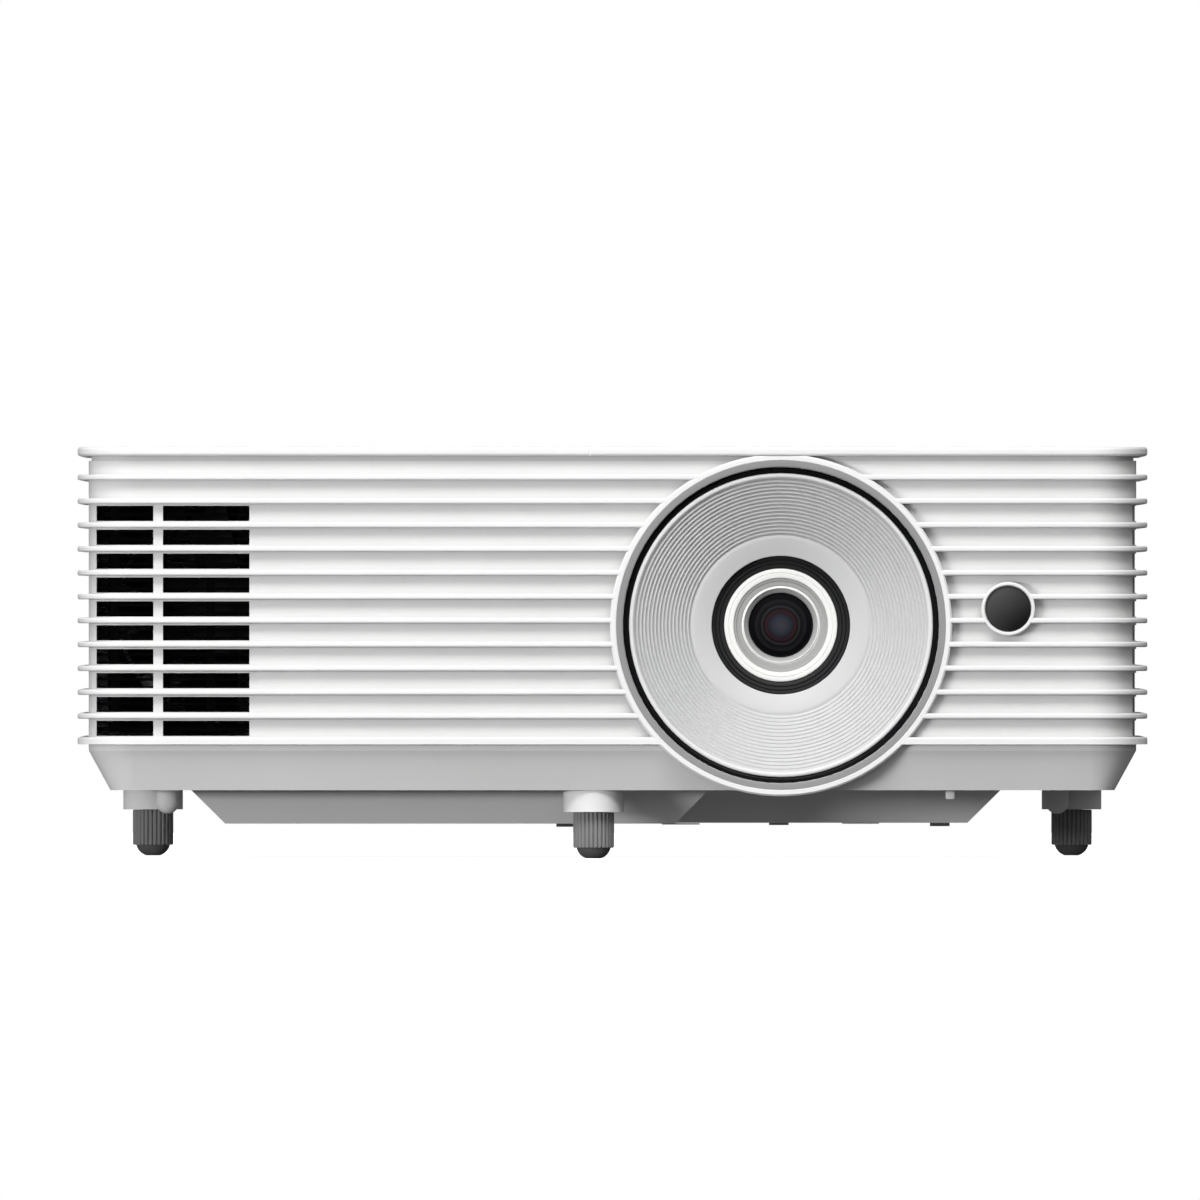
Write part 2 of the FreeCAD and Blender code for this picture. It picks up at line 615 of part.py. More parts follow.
BUTTONS = (
    ("up_button", "keypad_x", "keypad_y + button_pitch", "button_radius"),
    ("down_button", "keypad_x", "keypad_y - button_pitch", "button_radius"),
    ("left_button", "keypad_x - button_pitch", "keypad_y", "button_radius"),
    ("right_button", "keypad_x + button_pitch", "keypad_y", "button_radius"),
    ("enter_button", "keypad_x", "keypad_y", "button_radius + 1"),
    ("power_button", "keypad_x", "keypad_y + button_pitch * 2 - 1", "button_radius"),
    ("menu_button", "keypad_x - button_pitch", "keypad_y - button_pitch * 1.75", "button_radius"),
    ("source_button", "keypad_x + button_pitch", "keypad_y - button_pitch * 1.75",
     "button_radius"),
)


def keypad():
    """Sprung buttons held under the top cover, their board, and the status light pipes."""
    for name, x, y, radius in BUTTONS:
        flange = f"{LID_BOTTOM} - 0.3"
        button = turned(name, "z", (x, y, 0), [
            (0, "button_bottom"), (2, "button_bottom"), (2, f"{flange} - button_flange"),
            (f"{radius} + 0.9", f"{flange} - button_flange"), (f"{radius} + 0.9", flange),
            (radius, flange), (radius, "button_top - 0.5"),
            (f"{radius} - 0.5", "button_top", 0.5), (0, "button_top"),
        ])
        sub_part(button, name)
    board = box("keypad_board_block", ("keypad_x - 28", "keypad_x + 28"),
                ("keypad_y - 32", "keypad_y + 40"),
                ("keypad_board_z", "keypad_board_z + board_thickness"))
    sub_part(board, "keypad_board")
    lights = [cylinder(f"light_{number}", "z",
                       (f"keypad_x - 9 + {number} * 9", "keypad_y + 31",
                        "keypad_board_z + board_thickness"), 1.2,
                       "case_height - keypad_board_z - board_thickness - 0.2")
              for number in range(3)]
    sub_part(group("status_light_group", lights), "status_lights")


# ---------------------------------------------------------------- lens

def lens_bezel():
    """The grooved funnel round the lens and the dark ring that frames it."""
    lip = "(cone_front - 0.6)"
    slope = "cone_depth / (lip_inner - dish_radius)"
    outline = [
        ("lip_radius", "ring_back - 2"), ("lip_radius", f"{lip} + 0.6"),
        ("lip_radius - 0.6", lip, 0.6), ("lip_inner + 0.4", lip),
        ("lip_inner", "cone_front"),
    ]
    for number in range(int(size("groove_count"))):
        start = f"lip_inner - groove_pitch * {number} - groove_pitch + groove_width"
        for inward, sunk in (("0", 0), ("groove_width / 2", 1), ("groove_width", 0)):
            radius = f"({start} - {inward})"
            depth = f"cone_front + (lip_inner - {radius}) * {slope} + {sunk} * groove_depth"
            outline.append((radius, depth))
    back = "cone_front + cone_depth + bezel_thickness"
    outline += [
        ("dish_bore", "cone_front + cone_depth + dish_depth"),
        ("dish_bore", f"{back} + dish_depth"), ("dish_radius - 1", back),
        ("lip_inner - 3", "ring_back - 2"),
    ]
    outline.reverse()
    sub_part(turned("lens_bezel", "y", LENS, outline), "lens_bezel")
    sub_part(turned("bezel_trim_ring", "y", LENS, [
        ("lip_radius", "ring_back - 2"), ("lip_radius", "cone_front + 0.5"),
        ("lip_radius + 0.6", "cone_front - 0.1"), ("ring_bore - 0.4", "cone_front - 0.1"),
        ("ring_bore", "cone_front + 0.3"), ("ring_bore", "ring_back - 2"),
    ][::-1]), "bezel_trim_ring")


def lens_barrel():
    """The fixed barrel with its stepped dark rim and its mounting flange."""
    sub_part(turned("lens_barrel", "y", LENS, [
        ("barrel_bore", "barrel_front + 0.8"), ("barrel_bore + 1.2", "barrel_front + 0.8"),
        ("barrel_bore + 1.2", "barrel_front + 0.4"), ("barrel_bore + 2.4", "barrel_front + 0.4"),
        ("barrel_bore + 2.4", "barrel_front"), ("barrel_radius", "barrel_front"),
        ("barrel_radius", "barrel_back - 4"), ("barrel_radius + 7", "barrel_back - 4"),
        ("barrel_radius + 7", "barrel_back"), ("barrel_bore", "barrel_back"),
    ]), "lens_barrel")


def ribbed_ring(name, front, back, radius, ribs):
    """A ring that turns on the barrel, with finger grooves round its rim."""
    bore = "barrel_radius + ring_clearance"
    ring = turned(name, "y", LENS, [
        (bore, front), (f"{radius} - 0.8", front), (radius, f"{front} + 0.8", 0.8),
        (radius, f"{back} - 0.8"), (f"{radius} - 0.8", back, 0.8), (bore, back),
    ])
    groove = pocket(ring, "XZ_Plane", f"1 - ({front})", [("circle", 0, f"{radius} + 0.4", 1.1)],
                    f"{back} - ({front}) + 2")
    round_pattern(ring, groove, "y", ribs)
    return ring


def lens_rings():
    """The focus ring, and the zoom ring with its lever."""
    sub_part(ribbed_ring("focus_ring", "focus_front", "focus_back", "focus_radius", 48),
             "focus_ring")
    ring = ribbed_ring("zoom_ring_wheel", "zoom_front", "zoom_back", "zoom_radius", 44)
    lever = box("zoom_lever", ("lens_x - lever_width / 2", "lens_x + lever_width / 2"),
                ("zoom_front + 2", "zoom_back - 2"),
                ("lens_z + zoom_radius - 3", "lens_z + lever_radius"))
    sub_part(fuse("zoom_ring_whole", [ring, lever]), "zoom_ring")


def lens_cells():
    """The white front cell with its glass, and the zoom group that slides in the barrel."""
    cell = "barrel_bore - cell_clearance"
    sub_part(turned("front_lens_cell", "y", LENS, [
        ("glass_radius - 0.6", "cell_front + 3.4"), ("glass_radius", "cell_front + 3.4"),
        ("glass_radius + 0.6", "cell_front + 1.2"), ("glass_radius + 2", "cell_front + 1.2"),
        ("glass_radius + 3.6", "cell_front + 0.7"), ("glass_radius + 3.6", "cell_front + 0.35"),
        ("glass_radius + 4.3", "cell_front + 0.35"), ("glass_radius + 4.3", "cell_front"),
        ("glass_radius + 5.6", "cell_front"), ("glass_radius + 5.8", "cell_front + 0.3"),
        ("glass_radius + 6", "cell_front"), (f"{cell} - 0.3", "cell_front"),
        (cell, "cell_front + 0.3"), (cell, "cell_back"), ("glass_radius + 1", "cell_back"),
        ("glass_radius + 1", "cell_front + 9"), ("glass_radius - 0.6", "cell_front + 9"),
    ]), "front_lens_cell")
    sub_part(turned("lens_retaining_ring", "y", LENS, [
        ("glass_radius + 1.1", "cell_front + 0.8"), ("glass_radius + 1.9", "cell_front + 0.8"),
        ("glass_radius + 1.9", "cell_front + 1.2"), ("glass_radius + 1.1", "cell_front + 1.2"),
    ]), "lens_retaining_ring")
    sub_part(turned("front_lens", "y", LENS, [
        (0, "cell_front + 2.2"), ("glass_radius - 0.6", "cell_front + 3.6", 24),
        ("glass_radius - 0.6", "cell_front + 8"), (0, "cell_front + 7"),
    ]), "front_lens")
    sub_part(turned("zoom_lens_cell", "y", LENS, [
        (12, "zoom_cell_front"), (cell, "zoom_cell_front"), (cell, "zoom_cell_back"),
        (12, "zoom_cell_back"),
    ]), "zoom_lens_cell")
    sub_part(turned("zoom_lens", "y", LENS, [
        (0, "zoom_cell_front + 2"), (12, "zoom_cell_front + 5", 25.5),
        (12, "zoom_cell_back - 5"), (0, "zoom_cell_back - 2", 25.5),
    ]), "zoom_lens")


def infrared_window():
    """The remote-control window and the receiver behind it."""
    front = f"-{HALF_Y}"
    sub_part(turned("infrared_window", "y", ("window_x", 0, "window_z"), [
        (0, f"{front} + 0.2"), ("window_radius", f"{front} + 1", 30),
        ("window_radius", f"-{INNER_Y}"), (0, f"-{INNER_Y}"),
    ]), "infrared_window")
    sub_part(box("infrared_receiver_block", ("window_x - 5", "window_x + 5"),
                 (f"-{INNER_Y}", f"-{INNER_Y} + 7"), ("window_z - 7", "window_z + 7")),
             "infrared_receiver")


# ---------------------------------------------------------------- feet and fastenings

def feet():
    """Three screw feet: ribbed knob, stud with a rounded tip, and the nuts in the case."""
    nuts = []
    for name, x, y in FEET:
        at = (x, y, 0)
        top = "knob_bottom + knob_height"
        knob = turned(name + "_knob", "z", at, [
            ("stud_radius + 0.06", "knob_bottom"), ("knob_radius - 0.5", "knob_bottom"),
            ("knob_radius", "knob_bottom + 0.5", 0.5), ("knob_radius", f"{top} - 0.5"),
            ("knob_radius - 0.5", top, 0.5), ("stud_radius + 0.06", top),
        ])
        groove = pocket(knob, "XY_Plane", f"{top} + 1",
                        [("circle", "knob_radius + 0.2", 0, 0.55)], "knob_height + 2")
        round_pattern(knob, groove, "z", 24)
        sub_part(knob, name + "_knob")
        sub_part(turned(name + "_stud", "z", at, [
            (0, 0), (2, 0), ("tip_radius", "knob_bottom - 0.25", 4.2),
            ("stud_radius", "knob_bottom - 0.25"), ("stud_radius", "stud_top - 0.6"),
            ("stud_radius - 0.6", "stud_top"), (0, "stud_top"),
        ]), name + "_stud")
        nut = doc.addObject("Part::Prism", name + "_nut")
        nut.Polygon = 6
        bind(nut, "Circumradius", "stud_radius + 2.8")
        bind(nut, "Height", "nut_height")
        place(nut, (x, y, "base_height + wall"))
        nuts.append(cut(name + "_nut_cut", nut, [
            cylinder(name + "_nut_bore", "z", (x, y, "base_height"), "stud_radius + 0.06", 12)]))
    sub_part(group("foot_nut_group", nuts), "foot_nuts")


def fastenings():
    """The ceiling-mount inserts, the case screws and the captive screw of the lamp cover."""
    inserts = [cut(f"insert_{number}_cut",
                   cylinder(f"insert_{number}", "z", (x, y, "insert_bottom"), "insert_radius",
                            "insert_length"),
                   [cylinder(f"insert_{number}_bore", "z", (x, y, "insert_bottom - 1"),
                             "insert_bore", "insert_length - 1")])
               for number, (x, y) in enumerate(MOUNTS, 1)]
    sub_part(group("insert_group", inserts), "ceiling_mount_inserts")
    screws = [screw(f"case_screw_{number}", (x, y, "base_height + 1.6"), 22)
              for number, (x, y) in enumerate(CASE_SCREWS, 1)]
    sub_part(group("case_screw_group", screws), "case_screws")
    captive = fuse("captive_screw", [
        cylinder("captive_head", "z", ("lamp_screw_x", "lamp_screw_y", "case_height - 1.6"), 3.3, 1.5),
        cylinder("captive_shank", "z", ("lamp_screw_x", "lamp_screw_y", f"{LID_BOTTOM} - 9"), 1.5, 10.2),
    ])
    slot = box("captive_slot", ("lamp_screw_x - 3", "lamp_screw_x + 3"),
               ("lamp_screw_y - 0.5", "lamp_screw_y + 0.5"),
               ("case_height - 0.8", "case_height"))
    sub_part(cut("captive_screw_cut", captive, [slot]), "lamp_cover_screw")


def screw(name, at, length):
    """A pan-head screw whose head is at the bottom, with a cross recess."""
    x, y, z = at
    whole = fuse(name + "_blank", [
        cylinder(name + "_head", "z", at, 3, 2.3),
        cylinder(name + "_shank", "z", at, 1.5, length),
    ])
    cross = [box(name + "_cross_a", (x - 1.6, x + 1.6), (y - 0.35, y + 0.35), (z, f"{z} + 1.1")),
             box(name + "_cross_b", (x - 0.35, x + 0.35), (y - 1.6, y + 1.6), (z, f"{z} + 1.1"))]
    return cut(name + "_cut", whole, cross)


# ---------------------------------------------------------------- cooling

def vent_screens():
    """Dark slotted screens inside the wall, behind the front slots and the side slots."""
    low, high = "seam_height + 4", "top_fin - fin_pitch"
    loops = [rounded_loop(f"{INNER_X} - {gap}", f"{INNER_Y} - {gap}", f"{INNER_R} - {gap}")
             for gap in ("screen_clearance", "(screen_clearance + screen_thickness)")]
    front_x = (f"-{INNER_X} - 1", "vent_right + 3")
    front_y = (f"-{INNER_Y} - 1", "screen_front_end")
    side_x = ("screen_side_start", f"{INNER_X} + 1")
    side_y = (f"-{INNER_Y} - 1", "side_vent_start + 3 * (side_vent_length + side_vent_post)")
    screens = []
    for name, x, y, along, pitch in (("front_screen", front_x, front_y, "x", "front_post_pitch"),
                                     ("side_screen", side_x, side_y, "y", "side_post_pitch")):
        sheet_ring = body(name + "_ring")
        pad(sheet_ring, "XY_Plane", low, [loops[0], loops[1]], f"{high} - ({low})")
        kept = common(name + "_sheet", sheet_ring, box(name + "_space", x, y, (0, "case_height")))
        slots = []
        for number in range(int(size(f"({high} - ({low}) - 2) / screen_pitch"))):
            start = f"{low} + 1 + {number} * screen_pitch"
            slots.append(box(f"{name}_slot_{number}", x, y, (start, f"{start} + screen_slot")))
        first, last = x if along == "x" else y
        posts = []
        for number in range(int(size(f"({last} - ({first})) / {pitch}")) + 1):
            span = (f"{last} - 1.5 - {number} * {pitch}", f"{last} + 1 - {number} * {pitch}")
            across = (span, y) if along == "x" else (x, span)
            posts.append(box(f"{name}_post_{number}", *across, (0, "case_height")))
        slots = cut(name + "_slots", fuse(name + "_slot_group", slots), posts)
        rib_y = CASE_SCREWS[1][1]
        rib = box(name + "_rib_gap", x, (f"{rib_y} - rib_half - 0.3", f"{rib_y} + rib_half + 0.3"),
                  ("seam_height", "seam_height + pillar_height + 0.3"))
        screens.append(cut(name + "_cut", kept, [slots, rib] if along == "y" else [slots]))
    sub_part(group("vent_screen_group", screens), "vent_screens")


def exhaust_fan():
    """The axial fan behind the front slots: a square frame and a bladed rotor."""
    frame = box("fan_block", ("fan_x - fan_half", "fan_x + fan_half"),
                ("fan_front", "fan_front + fan_depth"), ("fan_z - fan_half", "fan_z + fan_half"))
    bore = cylinder("fan_bore_cut", "y", ("fan_x", "fan_front - 1", "fan_z"), "fan_bore",
                    "fan_depth - 2")
    ports = [bore, cut("fan_back_ports", cylinder(
        "fan_back_bore", "y", ("fan_x", "fan_front", "fan_z"), "fan_bore", "fan_depth + 1"),
        [box("fan_spoke", ("fan_x - 36", "fan_x + 36"), ("fan_front - 2", "fan_front + 24"),
             ("fan_z - 2.5", "fan_z + 2.5")),
         box("fan_spoke_up", ("fan_x - 2.5", "fan_x + 2.5"), ("fan_front - 2", "fan_front + 24"),
             ("fan_z - 36", "fan_z + 36")),
         cylinder("fan_motor_seat", "y", ("fan_x", "fan_front - 2", "fan_z"), "fan_hub", 30)]),
        cylinder("fan_bearing", "y", ("fan_x", "fan_front", "fan_z"), "bearing_radius",
                 "fan_depth - 0.2")]
    sub_part(cut("fan_frame_cut", frame, ports), "exhaust_fan_frame")
    at = ("fan_x", "fan_front", "fan_z")
    rotor = turned("exhaust_fan_rotor", "y", at, [
        (0, 1), ("fan_hub - 1", 1), ("fan_hub", 2, 1), ("fan_hub", "fan_depth - 3.5"),
        ("shaft_radius", "fan_depth - 3.5"), ("shaft_radius", "fan_depth - 0.5"),
        (0, "fan_depth - 0.5"),
    ])
    blade = pad(rotor, "YZ_Plane", "fan_hub - 1",
                [[(2.5, -6), (3.9, -6), (15.5, 6), (14.1, 6)]], "fan_bore - fan_hub - 0.4")
    round_pattern(rotor, blade, "y", "blade_count")
    sub_part(rotor, "exhaust_fan_rotor")


def blower():
    """The centrifugal blower that cools the mirror chip and the colour wheel."""
    x = ("blower_x - blower_half", "blower_x + blower_half")
    y = ("blower_y - blower_half", "blower_y + blower_half")
    block = box("blower_block", x, y, ("blower_z", "blower_z + blower_height"))
    housing = cut("blower_housing_cut", block, [
        cylinder("blower_chamber", "z", ("blower_x", "blower_y", "blower_z + 1.5"),
                 "blower_half - 2", "blower_height - 3"),
        cylinder("blower_intake", "z", ("blower_x", "blower_y", "blower_z + 5"),
                 "blower_wheel - 4", "blower_height"),
        cylinder("blower_bearing", "z", ("blower_x", "blower_y", "blower_z - 1"),
                 "bearing_radius", 4),
        box("blower_outlet", ("blower_x - blower_half - 1", "blower_x - 4"),
            ("blower_y + 4", "blower_y + blower_half - 2"),
            ("blower_z + 1.5", "blower_z + blower_height - 1.5")),
    ])
    sub_part(housing, "blower_housing")
    wheel = turned("blower_rotor", "z", ("blower_x", "blower_y", "blower_z"), [
        (0, 0.2), ("shaft_radius", 0.2), ("shaft_radius", 3), ("blower_wheel", 3),
        ("blower_wheel", 4.2), (7, 4.2), (7, "blower_height - 3"),
        (0, "blower_height - 3"),
    ])
    vane = pad(wheel, "XY_Plane", 3.6,
               [square_loop(("blower_wheel - 4", "blower_wheel - 0.3"), (-0.4, 0.4))],
               "blower_height - 7")
    round_pattern(wheel, vane, "z", "vane_count")
    sub_part(wheel, "blower_rotor")


# ---------------------------------------------------------------- optics inside

def optical_engine():
    """The engine housing behind the barrel, with the mirror chip, its board and its heatsink."""
    x = ("engine_left", "engine_right")
    y = ("engine_front", "engine_back")
    z = ("engine_bottom", "engine_top")
    inner = [(f"{low} + 2.5", f"{high} - 2.5") for low, high in (x, y, z)]
    sub_part(cut("engine_cut", box("engine_block", x, y, z), [
        box("engine_space", inner[0], inner[1], (inner[2][0], "engine_top + 1")),
        cylinder("engine_lens_port", "y", ("lens_x", "engine_front - 1", "lens_z"),
                 "barrel_bore", 6),
        box("engine_light_port", ("engine_left - 1", "engine_left + 4"),
            ("beam_y - 5", "beam_y + 5"), ("beam_z - 4", "beam_z + 4")),
        box("engine_chip_port", ("lens_x - 12", "lens_x + 12"), ("engine_back - 4", "engine_back + 1"),
            ("lens_z - 8", "lens_z + 8")),
    ]), "engine_housing")
    sub_part(box("engine_lid_plate", x, y, ("engine_top", "engine_top + 2")), "engine_lid")
    sub_part(fuse("chip_board_whole", [
        box("chip_board_plate", ("lens_x - 28", "lens_x + 28"), ("engine_back", "engine_back + 1.6"),
            ("lens_z - 24", "lens_z + 20")),
        box("mirror_chip", ("lens_x - 11", "lens_x + 11"), ("engine_back - 2.5", "engine_back + 0.2"),
            ("lens_z - 7", "lens_z + 7")),
    ]), "mirror_chip_board")
    sink = body("chip_heatsink", ("lens_x", "engine_back + 1.6", "lens_z"))
    pad(sink, "XZ_Plane", -4, [square_loop((-18, 18), (-16, 16))], 4)
    fin = pad(sink, "XZ_Plane", -18, [square_loop((-18, -16.8), (-16, 16))], 14.5)
    row_pattern(sink, fin, "x", 3.48, 11)
    sub_part(sink, "chip_heatsink")


def light_path():
    """Lamp, colour wheel and light tunnel in line with the engine's light port."""
    beam = (0, "beam_y", "beam_z")
    sub_part(cut("light_tunnel_cut", box(
        "light_tunnel_bar", ("wheel_x + 5", "engine_left"), ("beam_y - 4.5", "beam_y + 4.5"),
        ("beam_z - 3.5", "beam_z + 3.5")), [box(
            "light_tunnel_space", ("wheel_x + 4", "engine_left + 1"),
            ("beam_y - 3", "beam_y + 3"), ("beam_z - 2.2", "beam_z + 2.2"))]), "light_tunnel")
    wheel_at = (0, "beam_y", "beam_z - wheel_radius + 6")
    sub_part(turned("colour_wheel", "x", wheel_at, [
        (0, "wheel_x - 3"), ("wheel_hub", "wheel_x - 3"), ("wheel_hub", "wheel_x - 0.5"),
        ("wheel_radius", "wheel_x - 0.5"), ("wheel_radius", "wheel_x + 0.5"),
        ("wheel_hub", "wheel_x + 0.5"), ("wheel_hub", "wheel_x + 1"),
        ("shaft_radius", "wheel_x + 1"), ("shaft_radius", "wheel_x + 9"), (0, "wheel_x + 9"),
    ][::-1]), "colour_wheel")
    motor = cylinder("wheel_motor_can", "x", ("wheel_x + 1.3", wheel_at[1], wheel_at[2]), 9, 12)
    foot = box("wheel_motor_foot", ("wheel_x + 3", "wheel_x + 11"), ("beam_y - 9", "beam_y + 9"),
               ("keel_height + wall", wheel_at[2]))
    bearing = cylinder("wheel_bearing", "x", ("wheel_x", wheel_at[1], wheel_at[2]),
                       "bearing_radius", 10)
    sub_part(cut("wheel_motor_cut", fuse("wheel_motor_whole", [motor, foot]), [bearing]),
             "colour_wheel_motor")
    x = ("lamp_left", "lamp_x + 4")
    y = ("beam_y - lamp_half", "beam_y + lamp_half")
    z = ("beam_z - lamp_half", "beam_z + lamp_half")
    sub_part(cut("lamp_housing_cut", box("lamp_block", x, y, z), [
        box("lamp_space", ("lamp_left + 2", "lamp_x"), *[(f"{low} + 2", f"{high} - 2")
                                                            for low, high in (y, z)]),
        cylinder("lamp_port", "x", ("lamp_x - 1", *beam[1:]), "lamp_radius - 2", 8),
    ]), "lamp_housing")
    sub_part(turned("lamp_reflector", "x", beam, [
        (4, "lamp_x - 36"), ("lamp_radius - 2", "lamp_x", -46), ("lamp_radius", "lamp_x"),
        (6, "lamp_x - 39", 46), (4, "lamp_x - 39"),
    ][::-1]), "lamp_reflector")
    sub_part(turned("lamp_burner", "x", beam, [
        (0, "lamp_x - 44"), (3.9, "lamp_x - 44"), (3.9, "lamp_x - 33"), (2, "lamp_x - 31"),
        (2, "lamp_x - 24"), (5, "lamp_x - 20"), (5, "lamp_x - 16"), (2, "lamp_x - 12"),
        (2, "lamp_x - 4"), (0, "lamp_x - 4"),
    ][::-1]), "lamp_burner")


# ---------------------------------------------------------------- electronics

def rear_panel():
    """The connector panel, its sockets, the boards and the power inlet."""
    lap = "panel_overlap"
    plate = box("rear_panel_plate", (f"panel_left - {lap}", f"panel_right + {lap}"),
                (f"{INNER_Y} - panel_thickness", INNER_Y),
                (f"panel_bottom - {lap}", f"panel_top + {lap}"))
    holes = []
    face = f"{INNER_Y} - panel_thickness"
    base = "main_board_z + board_thickness"
    sockets = {}

    def block_socket(node, name, x, width, tall, inside):
        """A metal or plastic shell with an open mouth towards the rear."""
        low, high = f"{x} - {width} / 2", f"{x} + {width} / 2"
        holes.append(box(name + "_hole", (low, high), (f"{face} - 1", f"{INNER_Y} + 1"),
                         (f"socket_z - {tall} / 2", f"socket_z + {tall} / 2")))
        shell = fuse(name + "_blank", [
            box(name + "_shell", (low, high), (f"{face} - socket_depth", INNER_Y),
                (f"socket_z - {tall} / 2", f"socket_z + {tall} / 2")),
            box(name + "_stand", (low, high), (f"{face} - socket_depth", f"{face} - 0.4"),
                (base, "socket_z")),
        ])
        mouth = box(name + "_mouth", (f"{low} + {inside}", f"{high} - {inside}"),
                    (f"{face} - socket_depth + 2", f"{INNER_Y} + 1"),
                    (f"socket_z - {tall} / 2 + {inside}", f"socket_z + {tall} / 2 - {inside}"))
        tongue = box(name + "_tongue", (f"{low} + {inside} * 2 + 1", f"{high} - {inside} * 2 - 1"),
                     (f"{face} - socket_depth + 1", f"{INNER_Y} - 2"),
                     ("socket_z - 0.6", "socket_z + 0.6"))
        sockets.setdefault(node, []).append(fuse(name + "_whole", [
            cut(name + "_cut", shell, [mouth]), tongue]))

    def round_jack(node, name, x, z, radius):
        """A round jack with a bore towards the rear."""
        holes.append(cylinder(name + "_hole", "y", (x, f"{face} - 1", z), radius + 0.05, 8))
        barrel = cylinder(name + "_barrel", "y", (x, f"{face} - socket_depth", z), radius,
                          "panel_thickness + socket_depth + 4")
        sockets.setdefault(node, []).append(cut(name + "_cut", barrel, [
            cylinder(name + "_bore", "y", (x, f"{face} - socket_depth + 3", z),
                     f"{radius} * 0.42", 30)]))

    for number, x in enumerate((-14, 8)):
        block_socket("hdmi_sockets", f"hdmi_{number}", x, 15, 6, 0.8)
    for name, x in (("computer", 34), ("serial", 76)):
        block_socket("data_sockets", name, x, 17, 9, 1)
    block_socket("usb_socket", "usb", 56, 8, 5, 0.7)
    for number in range(3):
        round_jack("video_jacks", f"component_{number}", 94 + number * 12, "socket_z + 10", 4.2)
    for number in range(2):
        round_jack("video_jacks", f"video_{number}", 94 + number * 12, "socket_z - 2.4", 4.2)
    round_jack("video_jacks", "trigger", 122, "socket_z - 2.4", 3.2)
    sub_part(cut("rear_panel_cut", plate, holes), "rear_panel")
    for node, solids in sockets.items():
        sub_part(group(node + "_group", solids) if len(solids) > 1 else solids[0], node)
    sub_part(box("main_board_plate", ("panel_left", "panel_right"), (44, f"{face} - 0.4"),
                 ("main_board_z", base)), "main_board")

    x = ("inlet_x - inlet_half_width", "inlet_x + inlet_half_width")
    z = ("inlet_z - inlet_half_height", "inlet_z + inlet_half_height")
    flange = box("inlet_flange", (f"{x[0]} - 2", f"{x[1]} + 2"), (WALL_Y, f"{WALL_Y} + 2"),
                 (f"{z[0]} - 2", f"{z[1]} + 2"))
    shell = fuse("inlet_shell", [flange, box("inlet_body", x, (f"{WALL_Y} - 20", WALL_Y), z)])
    cavity = box("inlet_cavity", (f"{x[0]} + 1.5", f"{x[1]} - 1.5"), (f"{WALL_Y} - 16", HALF_Y),
                 (f"{z[0]} + 1.75", f"{z[1]} - 1.75"))
    sub_part(cut("inlet_cut", shell, [cavity]), "power_inlet")
    pins = [box(f"inlet_pin_{number}", (f"inlet_x + {shift} - 1", f"inlet_x + {shift} + 1"),
                (f"{WALL_Y} - 16", f"{WALL_Y} - 3"),
                (f"inlet_z + {rise} - 2", f"inlet_z + {rise} + 2"))
            for number, (shift, rise) in enumerate(((-7, -1.5), (0, 1.5), (7, -1.5)))]
    sub_part(group("inlet_pin_group", pins), "power_inlet_pins")

    power_z = "main_board_z - 6"
    parts = [box("power_board_plate", (-130, -40), (40, 84), (power_z, f"{power_z} + 1.6"))]
    parts.append(box("power_transformer", (-126, -98), (48, 74), (f"{power_z} + 1.5", 66)))
    for number in range(3):
        parts.append(cylinder(f"power_capacitor_{number}", "z",
                              (-84 + number * 16, 62, f"{power_z} + 1.5"), 6, 22))
    sub_part(fuse("power_board_whole", parts), "power_board")


# ---------------------------------------------------------------- build, check and write

for make in (finned_case, bottom_case, lid, keypad, lens_bezel, lens_barrel, lens_rings,
             lens_cells, infrared_window, feet, fastenings, vent_screens, exhaust_fan, blower,
             optical_engine, light_path, rear_panel):
    make()
doc.recompute()

for thing in doc.Objects:
    if "Invalid" in thing.State or "Error" in thing.State:
        raise RuntimeError(f"{thing.Label} did not build: {thing.State}")
for part in SUB_PARTS:
    if part.Shape.isNull() or not part.Shape.isValid() or not part.Shape.Solids:
        raise RuntimeError(f"{part.Label} has no valid solid")

os.makedirs("parts", exist_ok=True)
for part in SUB_PARTS:
    part.Shape.exportStep(f"parts/{part.Label}.step")
    print(f"{part.Label}: {len(part.Shape.Solids)} solid(s), {part.Shape.Volume / 1000:.1f} cm3")
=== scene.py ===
"""Looks for the home projector: materials, detailed pieces, light and camera round the CAD frame.

Everything is in metres in the CAD frame: +Z up, the lens faces -Y, +X to the right of the front.
"""
import json
import math

